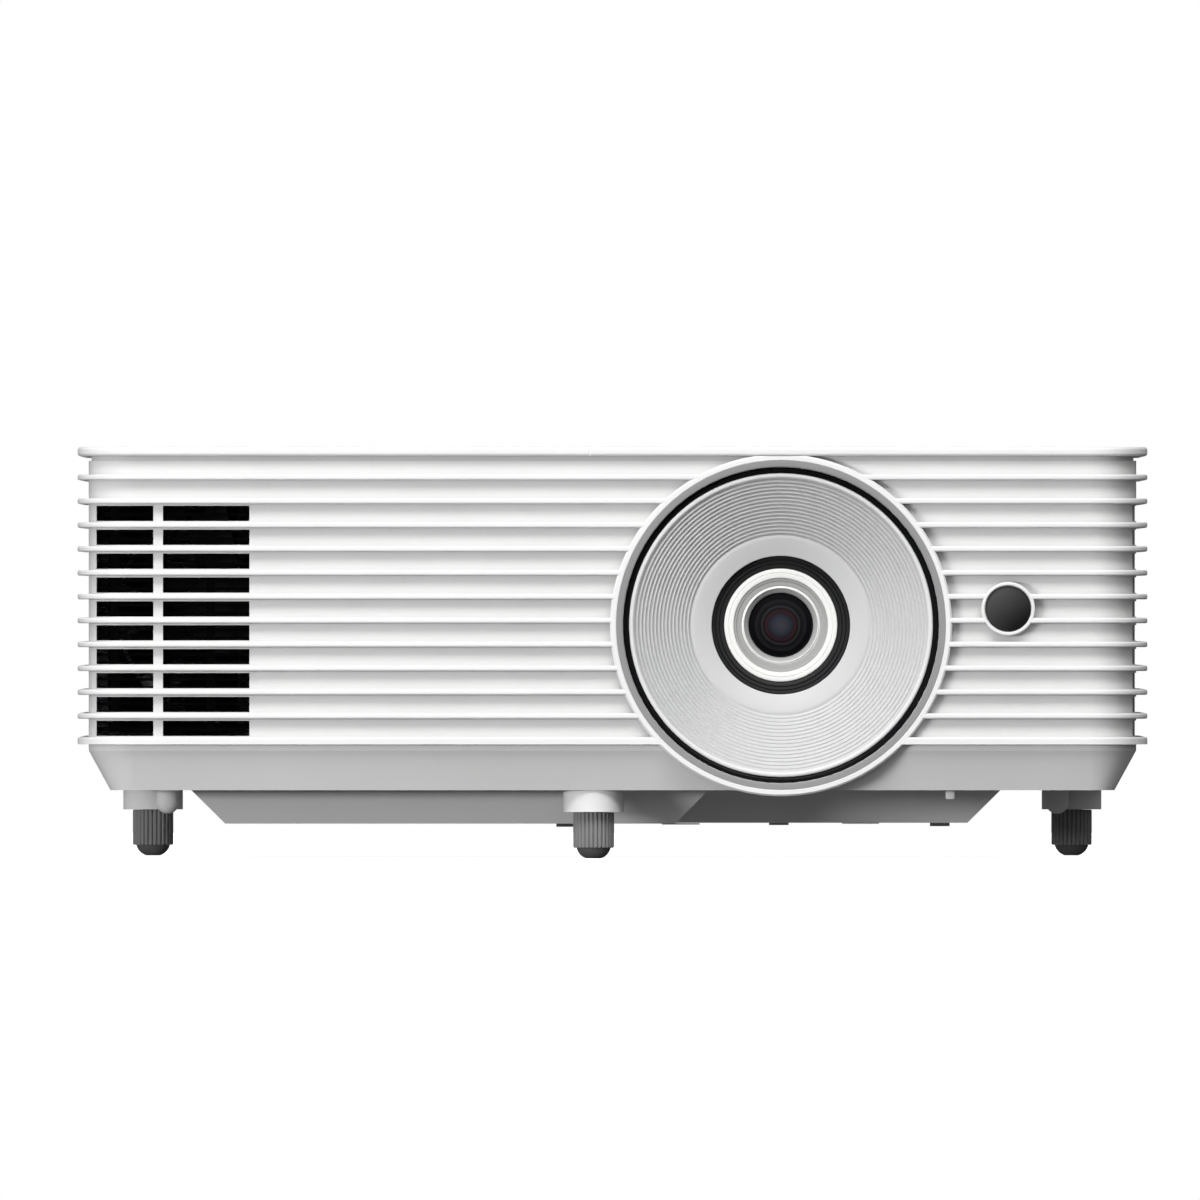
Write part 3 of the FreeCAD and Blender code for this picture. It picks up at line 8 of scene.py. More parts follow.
import bmesh
import bpy
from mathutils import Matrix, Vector


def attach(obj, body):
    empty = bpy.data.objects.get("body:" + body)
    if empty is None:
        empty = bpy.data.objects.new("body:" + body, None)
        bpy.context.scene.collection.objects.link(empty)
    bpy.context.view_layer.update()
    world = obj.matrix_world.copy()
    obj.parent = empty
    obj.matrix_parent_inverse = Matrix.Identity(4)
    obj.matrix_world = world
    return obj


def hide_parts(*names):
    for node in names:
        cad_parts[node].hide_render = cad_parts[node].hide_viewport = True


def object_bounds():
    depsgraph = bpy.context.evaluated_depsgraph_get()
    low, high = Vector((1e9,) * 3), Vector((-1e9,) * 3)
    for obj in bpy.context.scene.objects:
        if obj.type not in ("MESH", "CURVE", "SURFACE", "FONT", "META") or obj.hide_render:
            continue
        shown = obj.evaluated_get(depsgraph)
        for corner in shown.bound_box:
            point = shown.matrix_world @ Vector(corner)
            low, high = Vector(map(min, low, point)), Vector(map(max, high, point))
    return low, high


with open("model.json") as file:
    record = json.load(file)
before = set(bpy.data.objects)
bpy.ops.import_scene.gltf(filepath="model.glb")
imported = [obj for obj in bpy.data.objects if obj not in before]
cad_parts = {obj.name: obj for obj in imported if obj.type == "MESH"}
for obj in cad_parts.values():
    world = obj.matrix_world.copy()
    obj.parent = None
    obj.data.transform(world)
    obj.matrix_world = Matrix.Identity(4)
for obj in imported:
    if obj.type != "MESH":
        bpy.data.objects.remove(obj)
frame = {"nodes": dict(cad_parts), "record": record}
cad_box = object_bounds()
NODES = frame["nodes"]
MM = 0.001
LENS = (49.1, 0, 68.05)
IR_WINDOW = (115.3, 0, 72.8)


# ---------------------------------------------------------------- node material helpers

class Shader:
    """A material with a Principled surface, and short ways to add procedural nodes to it."""

    def __init__(self, name, colour, roughness=0.5, metallic=0.0, **uniform):
        self.material = bpy.data.materials.new(name)
        self.material.use_nodes = True
        self.tree = self.material.node_tree
        self.nodes = self.tree.nodes
        self.links = self.tree.links
        self.surface = self.nodes["Principled BSDF"]
        self.colour = tuple(colour)
        self.set("Base Color", self.colour + (1.0,))
        self.set("Roughness", roughness)
        self.set("Metallic", metallic)
        for socket, value in uniform.items():
            self.set(socket.replace("_", " "), value)
        self.place = self.nodes.new("ShaderNodeTexCoord").outputs["Object"]
        self.height = None

    def set(self, socket, value):
        self.surface.inputs[socket].default_value = value

    def node(self, kind, inputs=None, **properties):
        made = self.nodes.new("ShaderNode" + kind)
        for key, value in properties.items():
            setattr(made, key, value)
        for key, value in (inputs or {}).items():
            if isinstance(value, bpy.types.NodeSocket):
                self.links.new(value, made.inputs[key])
            else:
                made.inputs[key].default_value = value
        return made

    def noise(self, scale, detail=3.0, stretch=(1, 1, 1)):
        """Noise with a scale in features per metre, stretched along the axes."""
        place = self.node("Mapping", {"Vector": self.place, "Scale": stretch}).outputs[0]
        return self.node("TexNoise", {"Vector": place, "Scale": scale,
                                      "Detail": detail}).outputs["Fac"]

    def spread(self, value, low, high, source=(0.3, 0.7)):
        """A noise value mapped to a range."""
        return self.node("MapRange", {"Value": value, "From Min": source[0],
                                      "From Max": source[1], "To Min": low,
                                      "To Max": high}).outputs["Result"]

    def blend(self, factor, first, second):
        """A colour between two, by a factor."""
        mixed = self.node("Mix", data_type="RGBA")
        for slot, value in (("Factor_Float", factor), ("A_Color", first), ("B_Color", second)):
            socket = next(s for s in mixed.inputs if s.identifier == slot)
            if isinstance(value, bpy.types.NodeSocket):
                self.links.new(value, socket)
            else:
                socket.default_value = tuple(value) + (1.0,) if len(value) == 3 else value
        return next(s for s in mixed.outputs if s.identifier == "Result_Color")

    def drive(self, socket, value):
        self.links.new(value, self.surface.inputs[socket])

    def bump(self, value, distance, strength=1.0):
        """Another layer of relief, with its depth in metres."""
        made = self.node("Bump", {"Height": value, "Distance": distance, "Strength": strength})
        if self.height is not None:
            self.links.new(self.height, made.inputs["Normal"])
        self.height = made.outputs["Normal"]
        self.links.new(self.height, self.surface.inputs["Normal"])

    def shade_spots(self, scale, amount):
        """A slow, faint change of the base colour."""
        light = [min(1.0, c * (1 + amount)) for c in self.colour]
        dark = [c * (1 - amount) for c in self.colour]
        factor = self.spread(self.noise(scale), 0.0, 1.0)
        self.drive("Base Color", self.blend(factor, dark, light))


def moulded(name, colour, roughness=0.45, grain=2600, depth=0.000012, spots=0.02, **uniform):
    """Injection-moulded plastic with a fine spark-eroded texture."""
    made = Shader(name, colour, roughness, **uniform)
    made.shade_spots(35, spots)
    texture = made.noise(grain, 4)
    made.bump(texture, depth)
    made.drive("Roughness", made.spread(made.noise(90), roughness - 0.05, roughness + 0.05))
    return made


def shade_crevices(look, reach, darkest):
    """Darken the base colour in narrow gaps and inner corners, for shade that the lights leave out."""
    open_share = look.node("AmbientOcclusion", {"Distance": reach * MM}, samples=6).outputs["AO"]
    base = look.surface.inputs["Base Color"].links[0].from_socket
    dark = [c * darkest for c in look.colour]
    look.drive("Base Color", look.blend(look.spread(open_share, 0.0, 1.0, (0.1, 0.75)), dark, base))


def metal(name, colour, roughness=0.3, stretch=(1, 1, 1), scale=1500, depth=0.00001, **uniform):
    """Machined or plated metal with fine directional marks."""
    made = Shader(name, colour, roughness, metallic=1.0, **uniform)
    made.shade_spots(60, 0.06)
    marks = made.noise(scale, 4, stretch)
    made.bump(marks, depth)
    made.drive("Roughness", made.spread(marks, roughness - 0.08, roughness + 0.08))
    return made


# ---------------------------------------------------------------- materials

def make_materials():
    made = {}
    made["case_white"] = moulded("case_white", (0.78, 0.78, 0.777), 0.42)
    made["lid_white"] = moulded("lid_white", (0.78, 0.78, 0.777), 0.4)
    made["lens_silver"] = moulded("lens_silver", (0.56, 0.56, 0.563), 0.45, grain=3600,
                                  depth=0.000006)
    made["gloss_black"] = moulded("gloss_black", (0.006, 0.006, 0.007), 0.28, depth=0.000002,
                                  Specular_IOR_Level=0.14)
    made["barrel_black"] = moulded("barrel_black", (0.02, 0.02, 0.021), 0.45,
                                   Specular_IOR_Level=0.16)
    made["cell_white"] = moulded("cell_white", (0.8, 0.8, 0.78), 0.38)
    made["ring_metal"] = metal("ring_metal", (0.62, 0.62, 0.61), 0.25)
    made["knob_grey"] = moulded("knob_grey", (0.22, 0.22, 0.225), 0.5)
    made["foot_dark"] = moulded("foot_dark", (0.1, 0.1, 0.102), 0.5, Specular_IOR_Level=0.2)
    # drawn grey, as plated brass
    made["insert_brass"] = metal("insert_brass", (0.42, 0.41, 0.4), 0.4)
    made["screen_black"] = moulded("screen_black", (0.0015, 0.0015, 0.0015), 0.75,
                                   Specular_IOR_Level=0.05)
    made["fan_black"] = moulded("fan_black", (0.006, 0.006, 0.006), 0.55, Specular_IOR_Level=0.2)
    made["cast_metal"] = metal("cast_metal", (0.42, 0.42, 0.43), 0.5, scale=500, depth=0.00006)
    made["wheel_glass"] = Shader("wheel_glass", (0.75, 0.82, 0.9), 0.08, Transmission_Weight=0.6)
    made["board_green"] = moulded("board_green", (0.02, 0.16, 0.06), 0.3)
    made["panel_grey"] = moulded("panel_grey", (0.07, 0.07, 0.074), 0.5)
    made["socket_metal"] = metal("socket_metal", (0.66, 0.66, 0.67), 0.28)
    made["jack_brass"] = metal("jack_brass", (0.8, 0.62, 0.28), 0.25)
    made["inlet_black"] = moulded("inlet_black", (0.015, 0.015, 0.016), 0.4)
    made["button_grey"] = moulded("button_grey", (0.5, 0.5, 0.51), 0.4)
    made["light_clear"] = moulded("light_clear", (0.5, 0.65, 0.8), 0.12)
    made["lens_glass"] = Shader("lens_glass", (0.02, 0.02, 0.03), 0.05,
                                Specular_IOR_Level=0.3)
    made["lip_white"] = moulded("lip_white", (0.7, 0.7, 0.7), 0.4)
    made["bevel_grey"] = moulded("bevel_grey", (0.27, 0.27, 0.27), 0.45)
    made["cell_grey"] = moulded("cell_grey", (0.35, 0.35, 0.345), 0.4)
    made["window_gloss"] = moulded("window_gloss", (0.02, 0.018, 0.018), 0.12, depth=0.000001)
    made["sign_grey"] = moulded("sign_grey", (0.12, 0.12, 0.125), 0.5)
    made["jack_red"] = moulded("jack_red", (0.55, 0.03, 0.025), 0.35)
    made["jack_green"] = moulded("jack_green", (0.03, 0.34, 0.07), 0.35)
    made["jack_blue"] = moulded("jack_blue", (0.02, 0.08, 0.42), 0.35)
    made["jack_yellow"] = moulded("jack_yellow", (0.75, 0.5, 0.02), 0.35)
    made["wheel_glass"].shade_spots(200, 0.1)
    glass_rings_and_painted_reflection(made["lens_glass"])
    shade_crevices(made["case_white"], 7, 0.62)
    shade_crevices(made["lid_white"], 3, 0.5)
    window_painted_highlight(made["window_gloss"])
    return made


def glass_rings_and_painted_reflection(glass):
    """Dark coated glass: the rims of the elements behind it show as faint rings, and the lighter bluish
    centre and the reddish ring are painted reflection.
    """
    x, z = LENS[0] * MM, LENS[2] * MM
    flat = glass.node("Mapping", {"Vector": glass.place, "Location": (-x, 0, -z),
                                  "Scale": (1, 0, 1)}).outputs[0]
    reach = glass.node("VectorMath", {0: flat}, operation="LENGTH").outputs["Value"]
    wave = glass.noise(160, 2)
    uneven = glass.node("Math", {0: glass.spread(wave, -0.0001, 0.0001), 1: reach},
                        operation="ADD").outputs[0]
    share = glass.spread(uneven, 0.0, 1.0, (0.0, 0.0094))
    ramp = glass.node("ValToRGB", {"Fac": share})
    stops = ramp.color_ramp.elements
    # painted reflection: the lighter bluish centre here and the reddish stop at 0.46 below
    stops[0].position, stops[0].color = 0.0, (0.034, 0.034, 0.043, 1)
    stops[1].position, stops[1].color = 1.0, (0.002, 0.002, 0.003, 1)
    for place, colour in ((0.22, (0.024, 0.025, 0.035)), (0.4, (0.01, 0.01, 0.016)),
                          (0.46, (0.03, 0.009, 0.008)), (0.52, (0.004, 0.004, 0.006)),
                          (0.6, (0.02, 0.02, 0.022)), (0.63, (0.003, 0.003, 0.004)),
                          (0.78, (0.01, 0.01, 0.011)), (0.82, (0.002, 0.002, 0.003))):
        stops.new(place).color = colour + (1,)
    glass.drive("Base Color", ramp.outputs["Color"])
    glass.bump(glass.noise(400, 2), 0.0000004)


def window_painted_highlight(window):
    """The dark window is lighter towards its upper left: a painted highlight."""
    split = window.node("SeparateXYZ", {"Vector": window.place})
    slant = window.node("Math", {0: split.outputs["Z"], 1: split.outputs["X"]},
                        operation="SUBTRACT").outputs[0]
    middle, half = (IR_WINDOW[2] - IR_WINDOW[0]) * MM, 0.0075
    share = window.spread(slant, 0.0, 1.0, (middle - half, middle + half))
    window.drive("Base Color", window.blend(share, (0.008, 0.008, 0.008), (0.06, 0.059, 0.059)))


def dress(materials):
    """Give every CAD node the material of its slot in the record."""
    for entry in frame["record"]["subparts"]:
        slots = NODES[entry["node"]].data.materials
        slots.clear()
        slots.append(materials[entry["material_slot"]].material)


# ---------------------------------------------------------------- shapes

class Piece:
    """A mesh that is built up from turned, rounded and extruded shapes, in millimetres."""

    def __init__(self, name):
        self.name = name
        self.mesh = bmesh.new()

    def turn(self, axis, at, profile, count=144, ripple=None):
        """A closed profile of (radius, along) turned round an axis through a point.

        A ripple (number, depth, from_radius) cuts rounded grooves along the outside.
        """
        rings = []
        for radius, along in profile:
            ring = []
            for step in range(count if radius > 0.001 else 1):
                angle = 2 * math.pi * step / count
                reach = radius
                if ripple and radius > ripple[2]:
                    reach -= ripple[1] * abs(math.cos(ripple[0] * angle / 2)) ** 6
                flat = (reach * math.cos(angle), reach * math.sin(angle))
                if axis == "y":
                    spot = (at[0] + flat[0], along, at[2] + flat[1])
                elif axis == "x":
                    spot = (along, at[1] + flat[0], at[2] + flat[1])
                else:
                    spot = (at[0] + flat[0], at[1] + flat[1], along)
                ring.append(self.mesh.verts.new(Vector(spot) * MM))
            rings.append(ring)
        for number, ring in enumerate(rings):
            other = rings[number - 1]
            for step in range(count):
                after = (step + 1) % count
                corners = []
                for vertex in (other[step % len(other)], other[after % len(other)],
                               ring[after % len(ring)], ring[step % len(ring)]):
                    if vertex not in corners:
                        corners.append(vertex)
                if len(corners) > 2:
                    self.mesh.faces.new(corners)
        return self

    def block(self, low, high, rounding=0.3):
        """A box between two corners with rounded edges."""
        made = bmesh.ops.create_cube(self.mesh, size=1)["verts"]
        middle = (Vector(low) + Vector(high)) / 2
        span = Vector(high) - Vector(low)
        for vertex in made:
            vertex.co = Vector(m + c * s for m, c, s in zip(middle, vertex.co, span)) * MM
        if rounding:
            edges = {edge for vertex in made for edge in vertex.link_edges}
            bmesh.ops.bevel(self.mesh, geom=list(edges), offset=rounding * MM, segments=2,
                            affect="EDGES", profile=0.5)
        return self

    def slab(self, outline, low, high):
        """An outline of (x, y) extruded from a low to a high z."""
        bottom = [self.mesh.verts.new(Vector((x, y, low)) * MM) for x, y in outline]
        top = [self.mesh.verts.new(Vector((x, y, high)) * MM) for x, y in outline]
        self.mesh.faces.new(bottom)
        self.mesh.faces.new(top)
        for number in range(len(outline)):
            self.mesh.faces.new((bottom[number - 1], bottom[number], top[number],
                                 top[number - 1]))
        return self

    def done(self, material, body, slot, *nodes, sharp=32):
        """Make the object, let it ride on a body, and let it stand for CAD nodes."""
        bmesh.ops.recalc_face_normals(self.mesh, faces=self.mesh.faces)
        data = bpy.data.meshes.new(self.name)
        self.mesh.to_mesh(data)
        self.mesh.free()
        for face in data.polygons:
            face.use_smooth = True
        data.set_sharp_from_angle(angle=math.radians(sharp))
        data.materials.append(material.material)
        made = bpy.data.objects.new(self.name, data)
        bpy.context.scene.collection.objects.link(made)
        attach(made, body)
        if nodes:
            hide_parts(*nodes)
        return made


def arc(centre, radius, start, end, steps):
    """Points of (radius, along) on an arc, with its angles in degrees."""
    return [(centre[0] + radius * math.cos(math.radians(start + (end - start) * k / steps)),
             centre[1] + radius * math.sin(math.radians(start + (end - start) * k / steps)))
            for k in range(steps + 1)]


# ---------------------------------------------------------------- lens and front

FRONT = -111.0


def lens_front(look):
    """The grooved funnel, its gloss ring, the stepped barrel rim and the front cell."""
    lip, inner, dish, bore = 44.29, 42.9, 26.0, 20.2
    root, cone, deep = -101, -108.4, 11.6
    slope, count, pitch = deep / (inner - dish), 16, 1.056
    edge_ring = [(lip, root), (lip, cone)]
    edge_ring += arc((lip - 0.62, cone), 0.62, 0, -90, 5)[1:]
    edge_ring += arc((inner + 0.62, cone), 0.62, -90, -180, 5)[1:] + [(inner, root)]
    Piece("lens_funnel_lip").turn("y", LENS, edge_ring, 256).done(
        look["lip_white"], "chassis", "lens_silver", sharp=50)
    profile = [(inner - 0.02, root)]
    crest = 0.24
    for number in range(count):
        start = inner - number * pitch
        for part, sunk in ((0, 0), (0.5, -0.05), (1, 0)):
            radius = start - crest * part
            profile.append((radius, cone + (inner - radius) * slope + sunk))
        for step in range(1, 8):
            share = step / 8
            radius = start - crest - (pitch - crest) * share
            sunk = 0.46 * math.sin(math.pi * share ** 0.8)
            profile.append((radius, cone + (inner - radius) * slope + sunk))
    edge = cone + deep
    for step in range(1, 9):
        share = step / 9
        profile.append((dish - (dish - bore - 0.3) * share, edge + 1.3 * share ** 1.3))
    profile += arc((bore + 0.3, edge + 1.6), 0.3, -90, -180, 3)
    profile += [(bore, edge + 2.8), (dish - 1, edge + 1.5), (inner - 3, root)]
    Piece("lens_funnel").turn("y", LENS, profile, 256).done(
        look["lens_silver"], "chassis", "lens_silver", "lens_bezel", sharp=50)

    ring = [(lip, root), (lip, cone + 0.4)]
    ring += arc((45.17, cone + 0.75), 0.88, -180, 0, 12)
    ring += [(46.05, root)]
    Piece("lens_trim_ring").turn("y", LENS, ring, 224).done(
        look["gloss_black"], "chassis", "gloss_black", "bezel_trim_ring", sharp=50)

    accent = [(46.08, -108.7), (46.08, -110.6)] + arc((46.38, -110.6), 0.3, 180, 270, 3)[1:]
    accent += [(47.95, -110.9), (48.15, -110.75), (48.15, -108.7)]
    Piece("lens_ring_accent").turn("y", LENS, accent, 224).done(
        look["bevel_grey"], "chassis", "case_white")

    front = -93.7
    rim = [(16.56, front + 1.4), (16.7, front + 0.9)]
    for start in (17.0, 18.1, 19.2):
        rise = (19.2 - start) * 0.28
        rim += [(start, front + rise + 0.12), (start + 0.75, front + rise),
                (start + 0.82, front + rise + 0.4), (start + 1.0, front + rise + 0.4)]
    rim += [(20.3, front), (21.6, front), (21.9, front + 0.3), (21.9, -34), (28.7, -34),
            (28.9, -33.8), (28.9, -30), (16.56, -30)]
    Piece("lens_barrel_turned").turn("y", LENS, rim, 192).done(
        look["barrel_black"], "chassis", "barrel_black", "lens_barrel")

    face = -93.2
    outer = [(13.75, face + 0.4)]
    outer += arc((14.0, face + 0.25), 0.25, 180, 270, 3)
    outer += [(15.0, face), (15.12, face + 0.22), (15.28, face + 0.22), (15.4, face)]
    outer += arc((16.2, face + 0.3), 0.3, -90, 0, 3)
    outer += [(16.5, face + 17.2), (10.4, face + 17.2), (10.4, face + 9), (13.75, face + 9)]
    Piece("front_cell_shell").turn("y", LENS, outer, 176).done(
        look["cell_white"], "front_lens_group", "cell_white", "front_lens_cell")
    steps = [(13.74, face + 0.45), (13.74, face + 8.9), (11.45, face + 8.9), (11.45, face + 1.15)]
    steps += [(11.7, face + 0.95), (12.9, face + 0.85), (13.0, face + 0.55), (13.2, face + 0.5)]
    Piece("front_cell_steps").turn("y", LENS, steps, 160).done(
        look["cell_grey"], "front_lens_group", "cell_white")
    # the metal retaining ring is drawn in the cell's matte white, a painted highlight in place of its
    # bright reflection
    Piece("retaining_ring_turned").turn(
        "y", LENS, [(10.72, face + 1.6)] + arc((10.9, face + 0.9), 0.18, 180, 360, 8)
        + [(11.08, face + 1.1), (11.44, face + 1.15), (11.44, face + 1.9), (10.72, face + 1.9)],
        144).done(look["cell_white"], "front_lens_group", "ring_metal", "lens_retaining_ring")
    Piece("front_cell_sleeve").turn("y", LENS, [
        (9.42, face + 2.9), (9.55, face + 2.5), (10.0, face + 1.9), (10.7, face + 1.5),
        (10.7, face + 8.8), (8.8, face + 8.8), (8.8, face + 8.3), (9.42, face + 8.3)], 144).done(
        look["cell_grey"], "front_lens_group", "barrel_black")

    glass = []
    for step in range(13):
        radius = 9.4 * step / 12
        glass.append((radius, face + 2.0 + 1.5 * (radius / 9.4) ** 2))
    glass += [(9.4, face + 8), (0, face + 7)]
    Piece("front_glass").turn("y", LENS, glass, 128).done(
        look["lens_glass"], "front_lens_group", "lens_glass", "front_lens", sharp=50)

    window = []
    for step in range(11):
        radius = 6.7 * step / 10
        window.append((radius, FRONT + 0.15 + 0.85 * (radius / 6.7) ** 2))
    window += [(6.7, -105.36), (0, -105.36)]
    Piece("infrared_lens").turn("y", IR_WINDOW, window, 112).done(
        look["window_gloss"], "chassis", "gloss_black", "infrared_window", sharp=50)


FEET = (("front_foot", -5.5, -91.8), ("rear_left_foot", -135.6, 88), ("rear_right_foot", 135.6, 88))


def ribbed_parts(look):
    """Fine ribs on the rings that are turned by hand and on the feet."""
    for name, front, back, radius, bore, ribs in (("focus_ring", -92.6, -80, 36, 21.98, 96),
                                                 ("zoom_ring", -78, -67, 33, 21.98, 84)):
        profile = [(bore, front), (radius - 1.2, front)]
        profile += arc((radius - 0.9, front + 0.9), 0.9, -70, 0, 4)
        profile += arc((radius - 0.9, back - 0.9), 0.9, 0, 70, 4)
        profile += [(radius - 1.2, back), (bore, back)]
        ring = Piece(name + "_ribbed").turn("y", LENS, profile, ribs * 6, (ribs, 0.9, radius - 1))
        if name == "zoom_ring":
            x, z = LENS[0], LENS[2]
            ring.block((x - 3.5, front + 2, z + radius - 2.5), (x + 3.5, back - 2, z + 43), 0.8)
            for shift in (-2, 0, 2):
                ring.block((x + shift - 0.35, front + 2.4, z + 42.6),
                           (x + shift + 0.35, back - 2.4, z + 43), 0.15)
        ring.done(look["barrel_black"], name, "barrel_black", name)
    for foot, x, y in FEET:
        profile = [(3.06, 3.08), (5.7, 3.08), (5.95, 3.25), (6.0, 3.5), (6.0, 13.2), (5.9, 13.42),
                   (5.7, 13.5), (3.06, 13.5)]
        Piece(foot + "_ribbed_knob").turn("z", (x, y, 0), profile, 224, (28, 0.55, 5.6)).done(
            look["knob_grey"], foot + "_knob", "knob_grey", foot + "_knob")


# ---------------------------------------------------------------- top

KEYPAD = (105.0, 34.0)
PITCH = 12.5


def key_marks(look):
    """A plain raised sign on every button."""
    top = 119.7
    x, y = KEYPAD
    arrow = ((-1.7, -0.9), (1.7, -0.9), (0, 1.5))
    for name, mid, turns in (("up", (x, y + PITCH), 0), ("left", (x - PITCH, y), 1),
                             ("down", (x, y - PITCH), 2), ("right", (x + PITCH, y), 3)):
        outline = []
        for across, along in arrow:
            for _ in range(turns):
                across, along = -along, across
            outline.append((mid[0] + across, mid[1] + along))
        Piece(name + "_button_sign").slab(outline, top - 0.3, top + 0.08).done(
            look["sign_grey"], name + "_button", "button_grey")
    Piece("enter_button_sign").turn("z", (x, y, 0), [
        (1.6, top - 0.3), (1.6, top + 0.08), (1.1, top + 0.08), (1.1, top - 0.3)], 48).done(
        look["sign_grey"], "enter_button", "button_grey")
    power = Piece("power_button_sign")
    px, py = x, y + PITCH * 2 - 1
    points = [(math.cos(math.radians(a)), math.sin(math.radians(a))) for a in range(125, 416, 10)]
    outline = [(px + 1.9 * c, py + 1.9 * s) for c, s in points]
    outline += [(px + 1.45 * c, py + 1.45 * s) for c, s in points[::-1]]
    power.slab(outline, top - 0.3, top + 0.08)
    power.block((px - 0.22, py + 0.5, top - 0.3), (px + 0.22, py + 2.2, top + 0.08), 0)
    power.done(look["sign_grey"], "power_button", "button_grey")
    menu = Piece("menu_button_sign")
    mx, my = x - PITCH, y - PITCH * 1.75
    for rise in (-1.1, 0, 1.1):
        menu.block((mx - 1.7, my + rise - 0.22, top - 0.3), (mx + 1.7, my + rise + 0.22, top + 0.08), 0)
    menu.done(look["sign_grey"], "menu_button", "button_grey")
    source = Piece("source_button_sign")
    sx = x + PITCH
    for low, high in (((-1.9, -1.3), (-1.5, 1.3)), ((-1.5, 0.9), (1.9, 1.3)),
                      ((-1.5, -1.3), (1.9, -0.9))):
        source.block((sx + low[0], my + low[1], top - 0.3), (sx + high[0], my + high[1], top + 0.08), 0)
    source.slab([(sx, my - 0.6), (sx + 1.5, my), (sx, my + 0.6)], top - 0.3, top + 0.08)
    source.done(look["sign_grey"], "source_button", "button_grey")


# ---------------------------------------------------------------- rear

def rear_details(look):
    """Coloured jack faces, pins of the data sockets, and nuts beside them."""
    back = 109.35
    for name, x, z, slot_look in (("red", 94, 62, "jack_red"), ("green", 106, 62, "jack_green"),
                                  ("blue", 118, 62, "jack_blue"), ("yellow", 94, 49.6, "jack_yellow"),
                                  ("white", 106, 49.6, "cell_white")):
        at = (x, 0, z)
        Piece(f"jack_face_{name}").turn("y", at, [
            (1.9, back - 2), (1.9, back + 0.1), (2.2, back + 0.3), (3.6, back + 0.3),
            (3.9, back), (3.9, back - 2)], 64).done(look[slot_look], "chassis", "jack_brass")
    face = 105.35
    for name, x, rows, cover in (("computer", 34, (5, 5, 5), "jack_blue"),
                                 ("serial", 76, (5, 4), "inlet_black")):
        insert = Piece(name + "_socket_insert")
        insert.block((x - 7.2, face - 1.6, 48.6), (x + 7.2, face - 0.5, 55.4), 0.3)
        insert.done(look[cover], "chassis", "socket_metal")
        holes = Piece(name + "_socket_contacts")
        for row, count in enumerate(rows):
            for number in range(count):
                across = x + (number - (count - 1) / 2) * 2.4 + (row % 2) * 0.6 * (len(rows) > 2)
                up = 52 + (1 - row) * 1.9 if len(rows) > 2 else 53 - row * 2.4
                holes.turn("y", (across, 0, up), [(0.25, face - 0.7), (0.5, face - 0.35),
                                                  (0.62, face - 0.45), (0.62, face - 0.7)], 16)
        holes.done(look["jack_brass"], "chassis", "jack_brass")
        nuts = Piece(name + "_socket_nuts")
        for side in (-1, 1):
            nuts.turn("y", (x + side * 11.2, 0, 52), [
                (1.3, face), (1.3, face + 3.4), (1.6, face + 3.7), (2.3, face + 3.7),
                (2.6, face + 3.4), (2.6, face)], 6)
        nuts.done(look["socket_metal"], "chassis", "socket_metal", sharp=20)


# ---------------------------------------------------------------- boards inside

def board_parts(look):
    """Chips, capacitors and coils on the boards."""
    deck = 44.6
    chips = Piece("main_board_chips")
    for x, y, half, tall in ((10, 66, 9, 2.2), (44, 62, 7, 1.8), (72, 70, 6, 1.6), (-14, 60, 5, 1.4),
                             (100, 62, 8, 2), (24, 84, 4, 1.4), (90, 80, 3.5, 1.4)):
        chips.block((x - half, y - half, deck), (x + half, y + half, deck + tall), 0.25)
    chips.done(look["inlet_black"], "chassis", "board_green")
    cans = Piece("main_board_capacitors")
    for number in range(9):
        x = -24 + number * 17
        y = 52 if number % 2 else 78
        cans.turn("z", (x, y, 0), [(0, deck), (3, deck), (3, deck + 0.8), (2.8, deck + 1.1),
                                   (3, deck + 1.4), (3, deck + 6.6), (2.6, deck + 7), (0, deck + 7)], 40)
    cans.done(look["socket_metal"], "chassis", "board_green")
    coils = Piece("power_board_coils")
    for x, y in ((-52, 52), (-52, 70)):
        coils.turn("z", (x, y, 0), [(2, 38.6)] + arc((5, 42.6), 3, -150, 150, 10) + [(2, 46.6)],
                   120, (30, 0.5, 6.5))
    coils.done(look["jack_brass"], "chassis", "board_green")
    keys = Piece("keypad_board_parts")
    for shift in (-22, -8, 8, 22):
        keys.block((KEYPAD[0] + shift - 2, KEYPAD[1] - 31, 109.2),
                   (KEYPAD[0] + shift + 2, KEYPAD[1] - 28, 110.6), 0.2)
    keys.done(look["inlet_black"], "chassis", "board_green")


def keel_details(look):
    """The thin pads under the keel and the small lug that hangs from the base near its front."""
    pads = Piece("keel_pads")
    for start, end in ((14.4, 25.5), (67.4, 78.2)):
        y = -60 if start < 28 else -8
        pads.block((start, y, 9.72), (end, y + 12, 10.1), 0.12)
    pads.done(look["case_white"], "chassis", "case_white")
    lug = Piece("keel_lug")
    lug.block((97.2, -95, 17.2), (99.8, -88, 20.1), 0.4)
    lug.done(look["case_white"], "chassis", "case_white")


# ---------------------------------------------------------------- stage, light and camera

# strength of the surround at the height of a ray's direction, from below the horizon to above it
BELOW = 0.08
ABOVE = 0.26
HORIZON = (-0.25, 0.6)
# soft lights: name, place, width and height in metres, power in watts
LIGHTS = (
    ("key", (0.1, -1.6, 1.85), (2.2, 1.2), 54),
    ("front_fill", (-0.1, -2.4, 0.35), (1.2, 0.5), 5.5),
    ("low_left_fill", (-1.5, -1.8, 0.12), (0.8, 0.15), 28),
    ("back_fill", (-0.3, 2.2, 1.3), (1.2, 0.8), 22),
)


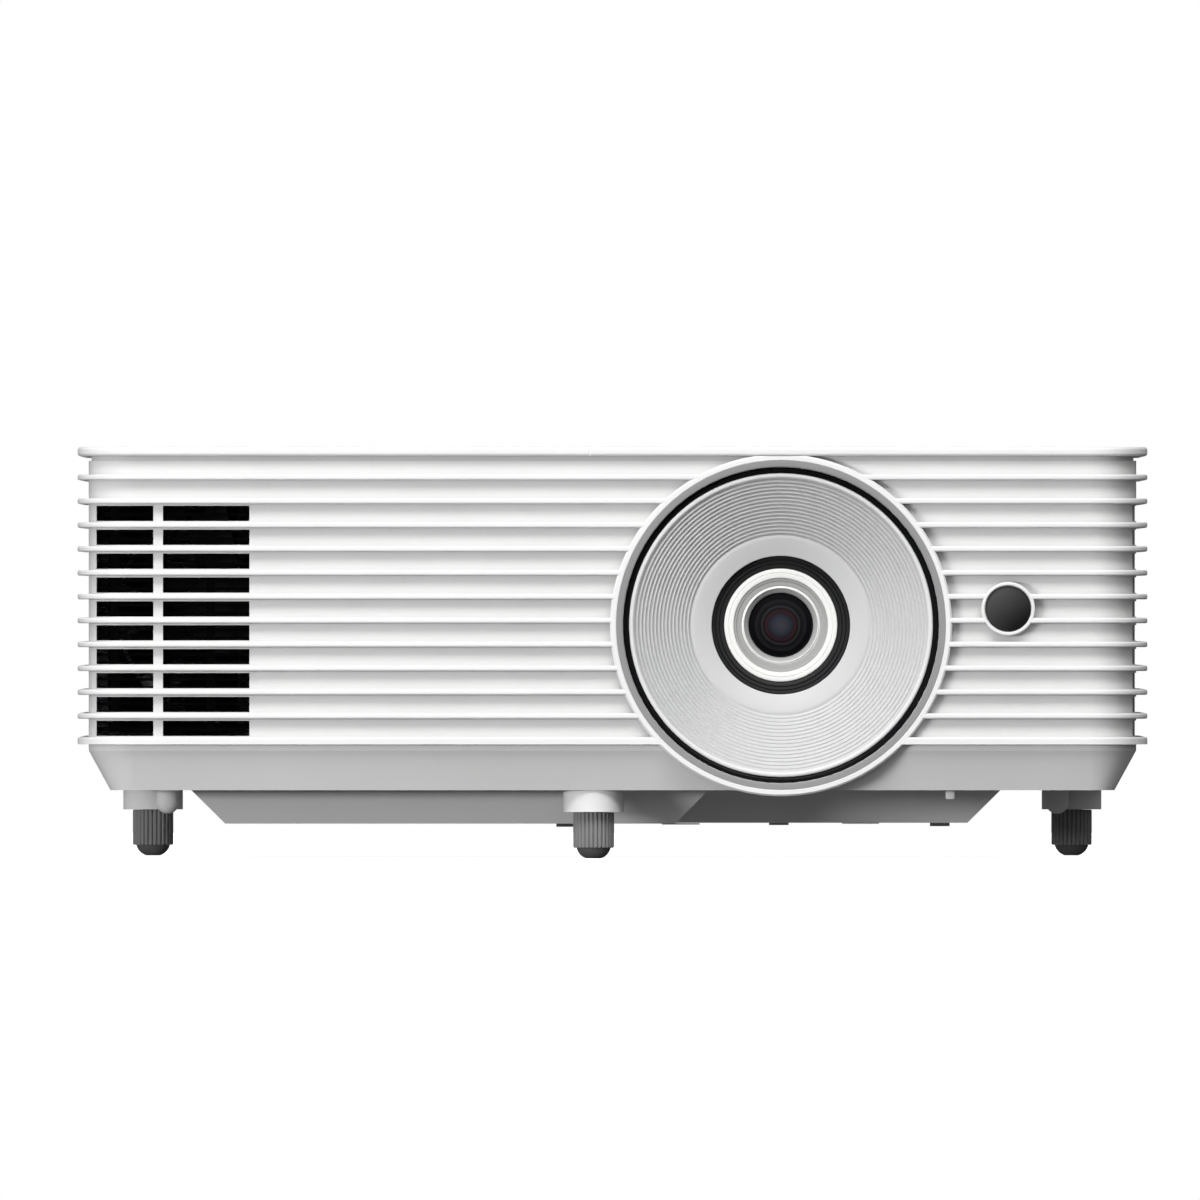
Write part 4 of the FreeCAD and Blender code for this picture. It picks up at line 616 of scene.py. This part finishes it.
def stage():
    """A pale floor, a white surround that is dimmer from below, and soft lights."""
    bpy.ops.mesh.primitive_plane_add(size=3, location=(0, 0, 0))
    floor = bpy.context.object
    floor.name = "floor"
    surface = Shader("floor_white", (0.9, 0.9, 0.9), 0.8, Emission_Strength=0.9)
    surface.set("Emission Color", (1, 1, 1, 1))
    surface.shade_spots(2, 0.01)
    floor.data.materials.append(surface.material)
    floor.visible_diffuse = False
    floor.visible_glossy = False

    world = bpy.data.worlds.new("surround")
    bpy.context.scene.world = world
    world.use_nodes = True
    nodes = world.node_tree.nodes
    links = world.node_tree.links
    nodes.clear()
    output = nodes.new("ShaderNodeOutputWorld")
    mix = nodes.new("ShaderNodeMixShader")
    ray = nodes.new("ShaderNodeLightPath")
    way = nodes.new("ShaderNodeTexCoord")
    split = nodes.new("ShaderNodeSeparateXYZ")
    ramp = nodes.new("ShaderNodeMapRange")
    links.new(way.outputs["Generated"], split.inputs[0])
    links.new(split.outputs["Z"], ramp.inputs["Value"])
    for socket, value in (("From Min", HORIZON[0]), ("From Max", HORIZON[1]),
                          ("To Min", BELOW), ("To Max", ABOVE)):
        ramp.inputs[socket].default_value = value
    around = nodes.new("ShaderNodeBackground")
    links.new(ramp.outputs["Result"], around.inputs["Strength"])
    seen = nodes.new("ShaderNodeBackground")
    for light in (around, seen):
        light.inputs["Color"].default_value = (1, 1, 1, 1)
    links.new(around.outputs[0], mix.inputs[1])
    links.new(seen.outputs[0], mix.inputs[2])
    links.new(ray.outputs["Is Camera Ray"], mix.inputs[0])
    links.new(mix.outputs[0], output.inputs["Surface"])

    for name, place, width, power in LIGHTS:
        data = bpy.data.lights.new(name, "AREA")
        data.shape = "RECTANGLE"
        data.size, data.size_y = width
        data.energy = power
        lamp = bpy.data.objects.new(name, data)
        bpy.context.scene.collection.objects.link(lamp)
        lamp.location = place
        lamp.rotation_euler = (Vector((0, 0, 0.07)) - Vector(place)).to_track_quat("-Z", "Y").to_euler()
        lamp.visible_camera = False
        lamp.visible_glossy = name == "key"


def camera():
    """A level view of the front from far away, so that it is almost free of perspective."""
    data = bpy.data.cameras.new("camera")
    data.sensor_width = 36
    data.lens = 1500
    view_width = 0.34958
    distance = view_width * data.lens / data.sensor_width
    eye = bpy.data.objects.new("camera", data)
    bpy.context.scene.collection.objects.link(eye)
    eye.location = (-0.00364, cad_box[0][1] - distance, 0.07538)
    eye.rotation_euler = (math.radians(90), 0, 0)
    data.clip_start = 1
    data.clip_end = 60
    bpy.context.scene.camera = eye


def main():
    camera()
    stage()
    look = make_materials()
    dress(look)
    for make in (lens_front, ribbed_parts, key_marks, rear_details, board_parts, keel_details):
        make(look)
    bpy.context.scene.view_settings.view_transform = "Standard"


main()
